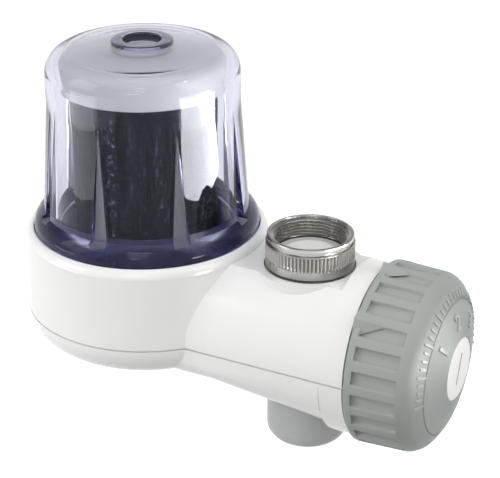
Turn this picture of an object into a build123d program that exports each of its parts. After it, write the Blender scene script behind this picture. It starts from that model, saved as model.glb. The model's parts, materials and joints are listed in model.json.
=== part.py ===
"""Faucet mount water filter: clear screw-on cup, white two-part housing, swivel inlet and three-way valve."""
import os

from build123d import *

os.makedirs("parts", exist_ok=True)

# The row frame: origin at the centre of the inlet's mouth, +Z up, +X along the arm towards the knob.
# Heights below are measured from the valve's axis, which is level with the parting line of the shells.
MOUTH_HEIGHT = 33.0
VALVE_Z = -MOUTH_HEIGHT
CUP_TO_INLET = 17.6

# Shells
BASE_WALL = 2.8
BASE_TAPER = 0.5
BASE_HEIGHT = 25.4
BASE_SHOULDER = 3.1
SHOULDER_BULGE = 0.7
BASE_DEPTH = 10.5
ARM_R = 25.8
ARM_END_X = 22.3
SHELL_WALL = 2.2
PAD_HEIGHT = 23.0
PAD_END_X = 15.6
RING_START_X = 15.0
BOSS_R = 16.0
INLET_HOLE_R = 13.5
SEAM_HEIGHT = 0.25
SEAM_GAP = 0.5
SEAM_DEPTH = 0.9
RAMP_START_X = -20.0
RAMP_START_DEPTH = 10.0
RAMP_START_CORNER = 5.5
RAMP_END_DEPTH = 20.2
RAMP_END_CORNER = 18.3

# Clear cup
CUP_BODY_R = 28.75
CUP_FLARE = 2.35
FLANGE_WIDTH = 3.2
FLANGE_SINK = 1.0
FLANGE_SIDE = 2.9
FLANGE_HEIGHT = 7.0
FLARE_TOP = 65.0
DOME_START = 73.5
DOME_CORNER = 7.3
CROWN_RISE = 1.2
CUP_WALL = 2.8
CUP_TOP_WALL = 2.2
CUP_BOSS_R = 9.1
CUP_BOSS_RISE = 1.0
CUP_RECESS_R = 5.65
CUP_RECESS_DEPTH = 2.4
SKIRT_INSET = 0.1
SKIRT_LENGTH = 10.4
FLUTE_COUNT = 8
FLUTE_ANGLE = 4.5
FLUTE_HALF_WIDTH = 2.6
FLUTE_STEP = 1.2

# Cup socket of the manifold
SOCKET_CLEARANCE = 0.4
FIT_CLEARANCE = 0.3
SOCKET_FLOOR_GAP = 2.5
SOCKET_FLOOR_WALL = 2.5
SEAL_SECTION_R = 0.99
SEAL_PLAY = 0.02
SPIGOT_R = 4.6
SPIGOT_TOP = 20.0
REST_RIB_COUNT = 6
REST_RIB_HEIGHT = 1.5
REST_RIB_WIDTH = 1.6

# Cartridge
CAP_CLEARANCE = 1.75
CAP_TOP = 78.0
CAP_RIM_BOTTOM = 69.6
CAP_WALL = 2.0
CAP_ROUND = 2.5
CAP_RIM_WALL = 2.4
CARBON_BORE_R = 6.0
CARTRIDGE_FOOT_INSET = 0.2
CARTRIDGE_FOOT_HEIGHT = 6.0
CORE_R = 5.9
CORE_WALL = 1.0
CORE_SLOT_ROWS = 6

# Valve
VALVE_BORE_R = 8.5
BARREL_WALL = 1.8
BARREL_START_X = -10.0
BARREL_FLANGE_X = 14.0
BARREL_END_X = 17.0
BARREL_FLANGE_R = 15.8
ROTOR_CLEARANCE = 0.05
ROTOR_END_GAP = 0.2
ROTOR_SHOULDER_X = 16.6
STEM_R = 5.0
STEM_SQUARE_X = 23.5
STEM_SQUARE = 7.0
STEM_END_X = 38.0
O_RING_DEPTH = 1.7
O_RING_WIDTH = 1.8
O_RING_X = (9.0, 12.8)
FEED_HEIGHT = 4.6
FEED_R = 2.4
RETURN_HEIGHT = -4.0
RETURN_R = 2.2
DUCT_WALL = 1.5
FEED_INSET = 5.0
PORT_X = -3.0
BYPASS_X = 4.0
BYPASS_R = 2.4
CLICK_ANGLE = 45.0
COVER_PLATE = 2.6
COVER_SCREW_COUNT = 3
COVER_SCREW_PCR = 13.0
COVER_SCREW_R = 1.2
COVER_SCREW_LENGTH = 5.0
COVER_HEAD_R = 2.2
COVER_HEAD_HEIGHT = 1.5

# Inlet
THREAD_R = 10.46
RELIEF_R = 10.9
ADAPTER_BOTTOM = 24.9
ADAPTER_R = 11.9
ADAPTER_NECK_R = 12.4
ADAPTER_LIP_R = 12.7
ADAPTER_LIP_BOTTOM = 31.6
NUT_R = 13.05
NUT_BOTTOM = 22.9
NUT_TOP = 30.8
NUT_CHAMFER = 0.7
NUT_LIP = 0.85
NECK_R = 9.4
NECK_BORE_R = 6.4
NECK_TOP = 25.0
NUT_RUNNING_GAP = 0.2
CLIP_HEIGHT = 0.8
CLIP_DEPTH = 0.5
CLIP_R = 11.0
CLIP_MOUTH_ANGLE = 60.0
WASHER_R = 10.2
WASHER_HEIGHT = 1.6
WASHER_BORE_R = 6.5
STRAINER_R = 8.0
STRAINER_HEIGHT = 0.5
PLATE_HALF_WIDTH = 9.5
PLATE_START_X = -19.0
WEB_WIDTH = 3.0

# Outlet
SPOUT_R = 12.27
SPOUT_WALL = 2.0
SPOUT_BOTTOM = -34.5
SPOUT_CORNER = 4.5
SPOUT_INSET = 1.2
SPOUT_WEB = 2.5
OUTLET_NECK_R = 8.6
OUTLET_SHOULDER_R = 9.6
OUTLET_SHOULDER = -18.5
OUTLET_NECK_BOTTOM = -22.5
OUTLET_BORE_R = 5.0
SPRAY_R = 7.5
SPRAY_THICKNESS = 1.5
SPRAY_SEAT = -33.6
SPRAY_LEDGE = 0.7
SPRAY_HOLE_R = 0.6
SPRAY_RING_COUNT = 12
SPRAY_RING_R = 5.4
STREAM_HOLE_R = 2.6

# Knob
KNOB_BACK_X = 22.98
KNOB_R = 27.1
KNOB_BACK_BEVEL = 0.7
KNOB_TAPER = 0.6
KNOB_EDGE_X = 38.0
KNOB_SHOULDER_X = 40.7
KNOB_SHOULDER_DROP = 1.7
KNOB_BAND_X = 42.7
KNOB_BAND_DROP = 3.9
KNOB_WALL = 2.6
KNOB_FACE_WALL = 2.4
GROOVE_RING_DROP = 7.1
GROOVE_RING_X = 44.5
GROOVE_WIDTH = 0.7
GROOVE_DEPTH = 0.5
GRIP_COUNT = 24
GRIP_ANGLE = -5.0
GRIP_WIDTH = 3.8
GRIP_DEPTH = 1.1
GRIP_START_X = 25.2
POINTER_RISE = 1.4
POINTER_END_X = 32.0
POINTER_HALF_WIDTH = 2.5
HUB_R = 8.5
HUB_START_X = 23.6
SQUARE_CLEARANCE = 0.05
KNOB_SEAT_WALL = 2.5
KNOB_RIB_COUNT = 6
KNOB_RIB_WIDTH = 1.6
KNOB_RIB_START_X = 30.0
CAP_DISC_R = 9.4
CAP_DISC_X = 45.4
CAP_DISC_THICKNESS = 2.0
CAP_DISC_GAP = 0.15
MARK_LENGTH = 8.2
MARK_WIDTH = 0.6
MARK_RISE = 0.25
MARK_ANGLE = 20.0
KNOB_SCREW_R = 1.5
KNOB_SCREW_HEAD_R = 3.2
KNOB_SCREW_HEAD = 2.2
KNOB_SCREW_DEPTH = 9.0

# Shell screws
SHELL_SCREW_R = 1.45
SHELL_SCREW_HEAD_R = 2.8
SHELL_SCREW_HEAD = 2.0
SHELL_SCREW_SEAT = -5.0
SHELL_SCREW_TIP_GAP = 2.0
SHELL_POST_R = 4.4
SHELL_POST_GAP = 0.5
BASE_POST_INSET = 6.8
BASE_POST_ANGLE = 140.0
ARM_POST_X = -17.5
ARM_POST_Y = 17.0

# Sizes that follow from the ones above
CUP_FOOT_R = CUP_BODY_R + CUP_FLARE
SKIRT_R = CUP_FOOT_R - SKIRT_INSET
FLANGE_R = CUP_FOOT_R + FLANGE_WIDTH
FLANGE_BOTTOM = BASE_HEIGHT - FLANGE_SINK
FLANGE_SIDE_TOP = FLANGE_BOTTOM + FLANGE_SIDE
FLANGE_TOP = FLANGE_BOTTOM + FLANGE_HEIGHT
FLUTE_BOTTOM = FLANGE_TOP - FLUTE_STEP
SKIRT_BOTTOM = FLANGE_BOTTOM - SKIRT_LENGTH
SOCKET_FLOOR_TOP = SKIRT_BOTTOM - SOCKET_FLOOR_GAP
SHELL_POST_TOP = SOCKET_FLOOR_TOP - SOCKET_FLOOR_WALL - SHELL_POST_GAP
SHELL_SCREW_END = SHELL_POST_TOP - SHELL_SCREW_TIP_GAP
OPENING_R = FLANGE_R + FIT_CLEARANCE
BASE_R = OPENING_R + BASE_WALL
CUP_X = -BASE_R - CUP_TO_INLET
FEED_X = CUP_X + SKIRT_R - FEED_INSET
BASE_TOP_R = BASE_R - BASE_TAPER
BASE_SIDE_TOP = BASE_HEIGHT - BASE_SHOULDER
CAP_R = CUP_BODY_R - CUP_WALL - CAP_CLEARANCE
CARBON_R = CAP_R - CAP_RIM_WALL
CARTRIDGE_FOOT_R = CAP_R - CARTRIDGE_FOOT_INSET
SOCKET_R = SKIRT_R + SOCKET_CLEARANCE
SOCKET_OUTER_R = OPENING_R - FIT_CLEARANCE
SOCKET_TOP = FLANGE_BOTTOM - 2 * SEAL_SECTION_R - SEAL_PLAY
CAVITY_R = ARM_R - SHELL_WALL
CEILING = PAD_HEIGHT - SHELL_WALL
BARREL_R = VALVE_BORE_R + BARREL_WALL
DOME_TOP = DOME_START + DOME_CORNER
CARTRIDGE_FOOT = SOCKET_FLOOR_TOP + REST_RIB_HEIGHT
CARBON_LENGTH = CAP_TOP - 2 * CAP_WALL - CARTRIDGE_FOOT
NUT_LIP_TOP = NUT_BOTTOM + NUT_LIP
CLIP_BOTTOM = NUT_LIP_TOP + ROTOR_CLEARANCE
RAMP_SLOPE = (RAMP_END_DEPTH - RAMP_START_DEPTH) / (RING_START_X - RAMP_START_X)
RAMP_TOP_LEFT = SPOUT_INSET - RAMP_START_DEPTH - RAMP_SLOPE * (-2 * SPOUT_R - RAMP_START_X)
RAMP_TOP_RIGHT = SPOUT_INSET - RAMP_START_DEPTH - RAMP_SLOPE * (2 * SPOUT_R - RAMP_START_X)
KNOB_BACK_R = KNOB_R - KNOB_BACK_BEVEL
KNOB_EDGE_R = KNOB_R - KNOB_TAPER
KNOB_SHOULDER = (KNOB_SHOULDER_X, KNOB_R - KNOB_SHOULDER_DROP)
KNOB_BAND_R = KNOB_R - KNOB_BAND_DROP
GROOVE_RING_R = KNOB_R - GROOVE_RING_DROP
GRIP_FLOOR_R = KNOB_R - GRIP_DEPTH
KNOB_RIM_INNER_X = KNOB_EDGE_X - KNOB_FACE_WALL
KNOB_FACE_INNER_X = GROOVE_RING_X - KNOB_FACE_WALL
BASE_POSTS = [
    Vector(CUP_X, 0) + Vector(BASE_R - BASE_POST_INSET, 0).rotate(Axis.Z, turn)
    for turn in (BASE_POST_ANGLE, -BASE_POST_ANGLE)
]
ARM_POSTS = [Vector(ARM_POST_X, side * ARM_POST_Y) for side in (1, -1)]

VALVE_AXIS = Axis((0, 0, VALVE_Z), (1, 0, 0))
INLET_AXIS = Axis((0, 0, VALVE_Z), (0, 0, 1))
CUP_AXIS = Axis((CUP_X, 0, VALVE_Z), (0, 0, 1))
CUP_PLANE = Plane(origin=(CUP_X, 0, VALVE_Z), x_dir=(1, 0, 0), z_dir=(0, -1, 0))


def level(height):
    """Horizontal plane at a height above the valve's axis."""
    return Plane.XY.offset(VALVE_Z + height)


def across(x):
    """Plane across the arm at x: its own x runs along Y and its own y is the height."""
    return Plane(origin=(x, 0, VALVE_Z), x_dir=(0, 1, 0), z_dir=(1, 0, 0))


def spoke(turn):
    """Plane through the valve's axis, turned from +Z towards +Y: its own x runs along X, y outward."""
    outward = Vector(0, 0, 1).rotate(Axis.X, -turn)
    return Plane(origin=(0, 0, VALVE_Z), x_dir=(1, 0, 0), z_dir=Vector(1, 0, 0).cross(outward))


def save(piece, name):
    """Name one piece and write its file."""
    piece.part.label = name
    export_step(piece.part, f"parts/{name}.step")


def outline(plane, points):
    """Face of a closed outline given as radius and height, or as length and radius."""
    with BuildSketch(plane) as drawn:
        with BuildLine():
            Polyline(*points, close=True)
        make_face()
    return drawn.sketch


def half_section(plane, half_width, depth, corner):
    """Lower half of the arm's section: straight sides, rounded corners, flat underside."""
    with BuildSketch(plane) as drawn:
        with BuildLine():
            FilletPolyline(
                (-half_width, SEAM_HEIGHT),
                (-half_width, -depth),
                (half_width, -depth),
                (half_width, SEAM_HEIGHT),
                radius=corner,
            )
            Line((half_width, SEAM_HEIGHT), (-half_width, SEAM_HEIGHT))
        make_face()
    return drawn.sketch


SIDE_PLANE = spoke(0)

# Upper housing: base ring, half-round arm with a flat pad, inlet boss and the raised end
with BuildPart() as upper_housing:
    with BuildSketch(across(CUP_X)):
        Circle(ARM_R)
        with Locations((0, -ARM_R)):
            Rectangle(3 * ARM_R, 2 * ARM_R + 2 * SEAM_HEIGHT, mode=Mode.SUBTRACT)
    extrude(amount=ARM_END_X - CUP_X)
    with BuildSketch(level(PAD_HEIGHT)):
        with Locations(((CUP_X + PAD_END_X) / 2, 0)):
            Rectangle(PAD_END_X - CUP_X, 2 * ARM_R)
    extrude(amount=ARM_R, mode=Mode.SUBTRACT)
    with BuildSketch(level(CEILING - SHELL_WALL)):
        Circle(BOSS_R)
    extrude(amount=PAD_HEIGHT - CEILING + SHELL_WALL)
    with BuildSketch(CUP_PLANE):
        with BuildLine():
            Line((0, SEAM_HEIGHT), (BASE_R, SEAM_HEIGHT))
            Line((BASE_R, SEAM_HEIGHT), (BASE_TOP_R, BASE_SIDE_TOP))
            SagittaArc((OPENING_R + FIT_CLEARANCE, BASE_HEIGHT), (BASE_TOP_R, BASE_SIDE_TOP), SHOULDER_BULGE)
            Line((OPENING_R + FIT_CLEARANCE, BASE_HEIGHT), (0, BASE_HEIGHT))
            Line((0, BASE_HEIGHT), (0, SEAM_HEIGHT))
        make_face()
    revolve(axis=CUP_AXIS)
    # The hollow: the base is open at the top, the arm is open at the knob's end
    with BuildSketch(level(SEAM_HEIGHT)):
        with Locations((CUP_X, 0)):
            Circle(OPENING_R)
    extrude(amount=BASE_HEIGHT + PAD_HEIGHT, mode=Mode.SUBTRACT)
    with BuildSketch(across(CUP_X)):
        Circle(CAVITY_R)
        with Locations((0, CEILING + CAVITY_R)):
            Rectangle(3 * CAVITY_R, 2 * CAVITY_R, mode=Mode.SUBTRACT)
        with Locations((0, -CAVITY_R)):
            Rectangle(3 * CAVITY_R, 2 * CAVITY_R, mode=Mode.SUBTRACT)
    extrude(amount=ARM_END_X - CUP_X, mode=Mode.SUBTRACT)
    with BuildSketch(level(CEILING - SHELL_WALL)):
        Circle(INLET_HOLE_R)
    extrude(amount=2 * SHELL_WALL + BOSS_R, mode=Mode.SUBTRACT)
    # Screw posts, joined to the walls beside them
    with BuildSketch(level(SEAM_HEIGHT)):
        with Locations(*BASE_POSTS, *ARM_POSTS):
            Circle(SHELL_POST_R)
    extrude(amount=SHELL_POST_TOP - SEAM_HEIGHT)
    for spot in ARM_POSTS:
        with BuildSketch(level(SHELL_POST_TOP)):
            with Locations(spot):
                Circle(SHELL_POST_R)
        extrude(until=Until.NEXT)
    with BuildSketch(level(SEAM_HEIGHT)):
        with Locations(*BASE_POSTS, *ARM_POSTS):
            Circle(SHELL_SCREW_R)
    extrude(amount=SHELL_SCREW_END - SEAM_HEIGHT, mode=Mode.SUBTRACT)
save(upper_housing, "upper_housing")

# Bottom cover: bowl below the cup, ramp under the arm and a full round ring at the knob's end
with BuildPart() as bottom_cover:
    with BuildSketch(CUP_PLANE):
        with BuildLine():
            Line((0, SEAM_HEIGHT), (BASE_R, SEAM_HEIGHT))
            Line((BASE_R, SEAM_HEIGHT), (BASE_R, 0))
            RadiusArc((BASE_R, 0), (BASE_R - BASE_DEPTH, -BASE_DEPTH), BASE_DEPTH)
            Line((BASE_R - BASE_DEPTH, -BASE_DEPTH), (0, -BASE_DEPTH))
            Line((0, -BASE_DEPTH), (0, SEAM_HEIGHT))
        make_face()
    revolve(axis=CUP_AXIS)
    extrude(
        half_section(across(CUP_X), ARM_R, RAMP_START_DEPTH, RAMP_START_CORNER),
        amount=RAMP_START_X - CUP_X,
    )
    loft(
        [
            half_section(across(RAMP_START_X), ARM_R, RAMP_START_DEPTH, RAMP_START_CORNER),
            half_section(across(RING_START_X), ARM_R, RAMP_END_DEPTH, RAMP_END_CORNER),
        ],
        ruled=True,
    )
    with BuildSketch(across(RING_START_X)):
        Circle(ARM_R)
        with Locations((0, SEAM_HEIGHT + ARM_R)):
            Rectangle(3 * ARM_R, 2 * ARM_R, mode=Mode.SUBTRACT)
    extrude(amount=ARM_END_X - RING_START_X)
    # The hollow follows the same forms, one wall further in
    with BuildSketch(CUP_PLANE):
        with BuildLine():
            Line((0, SEAM_HEIGHT), (BASE_R - SHELL_WALL, SEAM_HEIGHT))
            Line((BASE_R - SHELL_WALL, SEAM_HEIGHT), (BASE_R - SHELL_WALL, 0))
            RadiusArc(
                (BASE_R - SHELL_WALL, 0),
                (BASE_R - BASE_DEPTH, SHELL_WALL - BASE_DEPTH),
                BASE_DEPTH - SHELL_WALL,
            )
            Line((BASE_R - BASE_DEPTH, SHELL_WALL - BASE_DEPTH), (0, SHELL_WALL - BASE_DEPTH))
            Line((0, SHELL_WALL - BASE_DEPTH), (0, SEAM_HEIGHT))
        make_face()
    revolve(axis=CUP_AXIS, mode=Mode.SUBTRACT)
    inner_start = (CAVITY_R, RAMP_START_DEPTH - SHELL_WALL, RAMP_START_CORNER - SHELL_WALL)
    inner_end = (CAVITY_R, RAMP_END_DEPTH - SHELL_WALL, RAMP_END_CORNER - SHELL_WALL)
    extrude(
        half_section(across(CUP_X), *inner_start),
        amount=RAMP_START_X - CUP_X,
        mode=Mode.SUBTRACT,
    )
    loft(
        [half_section(across(RAMP_START_X), *inner_start), half_section(across(RING_START_X), *inner_end)],
        ruled=True,
        mode=Mode.SUBTRACT,
    )
    with BuildSketch(across(RING_START_X)):
        Circle(CAVITY_R)
        with Locations((0, SEAM_HEIGHT + CAVITY_R)):
            Rectangle(3 * CAVITY_R, 2 * CAVITY_R, mode=Mode.SUBTRACT)
    extrude(amount=ARM_END_X - RING_START_X, mode=Mode.SUBTRACT)
    # Screw posts with recesses for the heads
    with BuildSketch(level(SHELL_SCREW_SEAT)):
        with Locations(*BASE_POSTS, *ARM_POSTS):
            Circle(SHELL_POST_R)
    extrude(amount=SEAM_HEIGHT - SHELL_SCREW_SEAT)
    for spot in BASE_POSTS + ARM_POSTS:
        with BuildSketch(level(SHELL_SCREW_SEAT)):
            with Locations(spot):
                Circle(SHELL_POST_R)
        extrude(until=Until.NEXT, dir=(0, 0, -1))
    with BuildSketch(level(SHELL_SCREW_SEAT)):
        with Locations(*BASE_POSTS, *ARM_POSTS):
            Circle(SHELL_SCREW_HEAD_R + FIT_CLEARANCE)
    extrude(amount=-RAMP_END_DEPTH, mode=Mode.SUBTRACT)
    with BuildSketch(level(SHELL_SCREW_SEAT)):
        with Locations(*BASE_POSTS, *ARM_POSTS):
            Circle(SHELL_SCREW_R + FIT_CLEARANCE)
    extrude(amount=SEAM_HEIGHT - SHELL_SCREW_SEAT, mode=Mode.SUBTRACT)
    # The spout's hole and the shadow groove along the parting line
    with BuildSketch(level(-RAMP_END_DEPTH - SHELL_WALL)):
        Circle(SPOUT_R + FIT_CLEARANCE)
    extrude(amount=RAMP_END_DEPTH, mode=Mode.SUBTRACT)
    with BuildSketch(level(SEAM_HEIGHT)):
        with Locations((CUP_X, 0)):
            Circle(BASE_R + SEAM_DEPTH)
        with Locations(((CUP_X + ARM_END_X) / 2, 0)):
            Rectangle(ARM_END_X - CUP_X, 2 * (ARM_R + SEAM_DEPTH))
        with Locations((CUP_X, 0)):
            Circle(BASE_R - SEAM_DEPTH, mode=Mode.SUBTRACT)
        with Locations(((CUP_X + ARM_END_X) / 2, 0)):
            Rectangle(ARM_END_X - CUP_X, 2 * (ARM_R - SEAM_DEPTH), mode=Mode.SUBTRACT)
    extrude(amount=-SEAM_GAP, mode=Mode.SUBTRACT)
save(bottom_cover, "bottom_cover")

# Manifold: cup socket, ducts, valve barrel, inlet neck and outlet neck in one moulding
with BuildPart() as manifold:
    socket = outline(
        CUP_PLANE,
        [
            (0, SOCKET_FLOOR_TOP - SOCKET_FLOOR_WALL),
            (SOCKET_OUTER_R, SOCKET_FLOOR_TOP - SOCKET_FLOOR_WALL),
            (SOCKET_OUTER_R, SOCKET_TOP),
            (SOCKET_R, SOCKET_TOP),
            (SOCKET_R, SOCKET_FLOOR_TOP),
            (0, SOCKET_FLOOR_TOP),
        ],
    )
    revolve(socket, axis=CUP_AXIS)
    # Ribs that carry the cartridge clear of the floor
    with BuildSketch(level(SOCKET_FLOOR_TOP)):
        with Locations((CUP_X, 0)):
            with PolarLocations((CARTRIDGE_FOOT_R + SPIGOT_R) / 2, REST_RIB_COUNT):
                Rectangle(CARTRIDGE_FOOT_R - SPIGOT_R - 2 * REST_RIB_WIDTH, REST_RIB_WIDTH)
    extrude(amount=REST_RIB_HEIGHT)
    # Spigot with the pipe below it
    with BuildSketch(level(RETURN_HEIGHT)):
        with Locations((CUP_X, 0)):
            Circle(SPIGOT_R)
    extrude(amount=SPIGOT_TOP - RETURN_HEIGHT)
    with BuildSketch(across(CUP_X)):
        with Locations((0, RETURN_HEIGHT)):
            Circle(RETURN_R + DUCT_WALL)
    extrude(amount=BARREL_START_X - CUP_X)
    with BuildSketch(level(FEED_HEIGHT)):
        with Locations((FEED_X, 0)):
            Circle(FEED_R + DUCT_WALL)
    extrude(amount=SOCKET_FLOOR_TOP - FEED_HEIGHT)
    with BuildSketch(across(FEED_X)):
        with Locations((0, FEED_HEIGHT)):
            Circle(FEED_R + DUCT_WALL)
    extrude(amount=BARREL_START_X - FEED_X)
    with Locations(Pos(FEED_X, 0, VALVE_Z + FEED_HEIGHT)):
        Sphere(FEED_R + DUCT_WALL)
    with Locations(Pos(CUP_X, 0, VALVE_Z + RETURN_HEIGHT)):
        Sphere(RETURN_R + DUCT_WALL)
    # Barrel with its flange, the plate under the housing's ceiling and the web between them
    with BuildSketch(across(BARREL_START_X)):
        Circle(BARREL_R)
    extrude(amount=BARREL_END_X - BARREL_START_X)
    with BuildSketch(across(BARREL_FLANGE_X)):
        Circle(BARREL_FLANGE_R)
    extrude(amount=BARREL_END_X - BARREL_FLANGE_X)
    with BuildSketch(level(CEILING - SHELL_WALL)):
        with Locations(((PLATE_START_X + BARREL_END_X) / 2, 0)):
            Rectangle(BARREL_END_X - PLATE_START_X, 2 * PLATE_HALF_WIDTH)
    extrude(amount=SHELL_WALL)
    with BuildSketch(SIDE_PLANE):
        with BuildLine():
            Polyline(
                (BARREL_END_X, 0),
                (BARREL_END_X, CEILING - SHELL_WALL / 2),
                (PLATE_START_X, CEILING - SHELL_WALL / 2),
                (CUP_X + SOCKET_R + SHELL_WALL, SOCKET_FLOOR_TOP),
                (CUP_X + SOCKET_R + SHELL_WALL, FEED_HEIGHT),
                (BARREL_START_X, 0),
                close=True,
            )
        make_face()
    extrude(amount=WEB_WIDTH / 2, both=True)
    with BuildSketch(level(0)):
        Circle(NECK_R)
    extrude(amount=NECK_TOP)
    with BuildSketch(level(0)):
        Circle(OUTLET_SHOULDER_R)
    extrude(amount=OUTLET_SHOULDER)
    with BuildSketch(level(0)):
        Circle(OUTLET_NECK_R)
    extrude(amount=OUTLET_NECK_BOTTOM)
    # Water ways
    with BuildSketch(across(BARREL_START_X + BARREL_WALL)):
        Circle(VALVE_BORE_R)
    extrude(amount=BARREL_END_X - BARREL_START_X, mode=Mode.SUBTRACT)
    with BuildSketch(level(0)):
        Circle(NECK_BORE_R)
    extrude(amount=NECK_TOP, mode=Mode.SUBTRACT)
    with BuildSketch(level(0)):
        Circle(OUTLET_BORE_R)
    extrude(amount=OUTLET_NECK_BOTTOM, mode=Mode.SUBTRACT)
    with BuildSketch(across(CUP_X)):
        with Locations((0, RETURN_HEIGHT)):
            Circle(RETURN_R)
    extrude(amount=BARREL_START_X + BARREL_WALL - CUP_X, mode=Mode.SUBTRACT)
    with BuildSketch(level(RETURN_HEIGHT)):
        with Locations((CUP_X, 0)):
            Circle(RETURN_R)
    extrude(amount=SPIGOT_TOP - RETURN_HEIGHT, mode=Mode.SUBTRACT)
    with BuildSketch(across(FEED_X)):
        with Locations((0, FEED_HEIGHT)):
            Circle(FEED_R)
    extrude(amount=BARREL_START_X + BARREL_WALL - FEED_X, mode=Mode.SUBTRACT)
    with BuildSketch(level(FEED_HEIGHT)):
        with Locations((FEED_X, 0)):
            Circle(FEED_R)
    extrude(amount=SOCKET_FLOOR_TOP - FEED_HEIGHT, mode=Mode.SUBTRACT)
    # Grooves for the clip and the two seals, and the holes for the end plate's screws
    with BuildSketch(level(CLIP_BOTTOM)):
        Circle(NECK_R + CLIP_DEPTH)
        Circle(NECK_R - CLIP_DEPTH, mode=Mode.SUBTRACT)
    extrude(amount=CLIP_HEIGHT, mode=Mode.SUBTRACT)
    with BuildSketch(level((OUTLET_SHOULDER + OUTLET_NECK_BOTTOM) / 2)):
        Circle(OUTLET_NECK_R + SEAL_SECTION_R)
        Circle(OUTLET_NECK_R - SEAL_SECTION_R, mode=Mode.SUBTRACT)
    extrude(amount=SEAL_SECTION_R, both=True, mode=Mode.SUBTRACT)
    with BuildSketch(level((CARTRIDGE_FOOT + SPIGOT_TOP) / 2)):
        with Locations((CUP_X, 0)):
            Circle(SPIGOT_R + SEAL_SECTION_R)
            Circle(SPIGOT_R - SEAL_SECTION_R, mode=Mode.SUBTRACT)
    extrude(amount=SEAL_SECTION_R, both=True, mode=Mode.SUBTRACT)
    with BuildSketch(across(BARREL_END_X)):
        with PolarLocations(COVER_SCREW_PCR, COVER_SCREW_COUNT):
            Circle(COVER_SCREW_R)
    extrude(amount=COVER_PLATE - COVER_SCREW_LENGTH, mode=Mode.SUBTRACT)
save(manifold, "manifold")

# Clear cup: flared body with tapered flutes, thick flange, skirt for the socket and a top boss
with BuildPart() as clear_cup:
    with BuildSketch(CUP_PLANE):
        with BuildLine():
            Polyline(
                (CUP_FOOT_R - CUP_WALL, SKIRT_BOTTOM),
                (SKIRT_R, SKIRT_BOTTOM),
                (SKIRT_R, FLANGE_BOTTOM),
                (FLANGE_R, FLANGE_BOTTOM),
                (FLANGE_R, FLANGE_SIDE_TOP),
            )
            RadiusArc((FLANGE_R, FLANGE_SIDE_TOP), (CUP_FOOT_R, FLANGE_TOP), -(FLANGE_TOP - FLANGE_SIDE_TOP))
            Polyline((CUP_FOOT_R, FLANGE_TOP), (CUP_BODY_R, FLARE_TOP), (CUP_BODY_R, DOME_START))
            RadiusArc((CUP_BODY_R, DOME_START), (CUP_BODY_R - DOME_CORNER, DOME_TOP), -DOME_CORNER)
            Polyline(
                (CUP_BODY_R - DOME_CORNER, DOME_TOP),
                (CUP_BOSS_R, DOME_TOP + CROWN_RISE),
                (CUP_BOSS_R, DOME_TOP + CROWN_RISE + CUP_BOSS_RISE),
                (CUP_RECESS_R, DOME_TOP + CROWN_RISE + CUP_BOSS_RISE),
                (CUP_RECESS_R, DOME_TOP + CROWN_RISE + CUP_BOSS_RISE - CUP_RECESS_DEPTH),
                (0, DOME_TOP + CROWN_RISE + CUP_BOSS_RISE - CUP_RECESS_DEPTH),
                (0, DOME_TOP - CUP_TOP_WALL),
                (CUP_BODY_R - DOME_CORNER, DOME_TOP - CUP_TOP_WALL),
            )
            RadiusArc(
                (CUP_BODY_R - DOME_CORNER, DOME_TOP - CUP_TOP_WALL),
                (CUP_BODY_R - CUP_WALL, DOME_START),
                DOME_CORNER - CUP_TOP_WALL / 2,
            )
            Polyline(
                (CUP_BODY_R - CUP_WALL, DOME_START),
                (CUP_BODY_R - CUP_WALL, FLARE_TOP),
                (CUP_FOOT_R - CUP_WALL, SKIRT_BOTTOM),
            )
        make_face()
    revolve(axis=CUP_AXIS)
    flute_planes = []
    for flute in range(FLUTE_COUNT):
        outward = Vector(1, 0, 0).rotate(Axis.Z, FLUTE_ANGLE + flute * 360 / FLUTE_COUNT)
        middle = Vector(CUP_X, 0, VALVE_Z) + outward * CUP_BODY_R
        flute_planes.append(Plane(origin=middle, x_dir=outward.cross(Vector(0, 0, -1)), z_dir=outward))
    with BuildSketch(*flute_planes):
        with BuildLine():
            Polyline(
                (-FLUTE_HALF_WIDTH, FLUTE_BOTTOM),
                (FLUTE_HALF_WIDTH, FLUTE_BOTTOM),
                (0, FLARE_TOP),
                close=True,
            )
        make_face()
    extrude(amount=FLANGE_R - CUP_BODY_R, mode=Mode.SUBTRACT)
    top_edges = edges().filter_by(GeomType.CIRCLE).group_by(Axis.Z)[-1]
    fillet(top_edges, CUP_BOSS_RISE / 4)
save(clear_cup, "clear_cup")

# Flat ring between the flange and the top of the socket
with BuildPart() as cup_seal:
    with BuildSketch(level((SOCKET_TOP + FLANGE_BOTTOM) / 2)):
        with Locations((CUP_X, 0)):
            Circle(SOCKET_OUTER_R)
            Circle(SKIRT_R + ROTOR_CLEARANCE, mode=Mode.SUBTRACT)
    extrude(amount=SEAL_SECTION_R, both=True)
    fillet(edges().filter_by(GeomType.CIRCLE), SEAL_SECTION_R / 4)
save(cup_seal, "cup_seal")

# Cartridge: lower cap with the bore for the spigot
with BuildPart() as cartridge_bottom_cap:
    foot = outline(
        CUP_PLANE,
        [
            (SPIGOT_R + FIT_CLEARANCE / 2, CARTRIDGE_FOOT),
            (CARTRIDGE_FOOT_R, CARTRIDGE_FOOT),
            (CARTRIDGE_FOOT_R, CARTRIDGE_FOOT + CARTRIDGE_FOOT_HEIGHT),
            (CARBON_R, CARTRIDGE_FOOT + CARTRIDGE_FOOT_HEIGHT),
            (CARBON_R, CARTRIDGE_FOOT + CAP_WALL),
            (SPIGOT_R + FIT_CLEARANCE / 2, CARTRIDGE_FOOT + CAP_WALL),
        ],
    )
    revolve(foot, axis=CUP_AXIS)
    fillet(edges().filter_by(GeomType.CIRCLE).group_by(Axis.Z)[0].sort_by(SortBy.RADIUS)[-1], CAP_WALL / 3)
save(cartridge_bottom_cap, "cartridge_bottom_cap")

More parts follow.
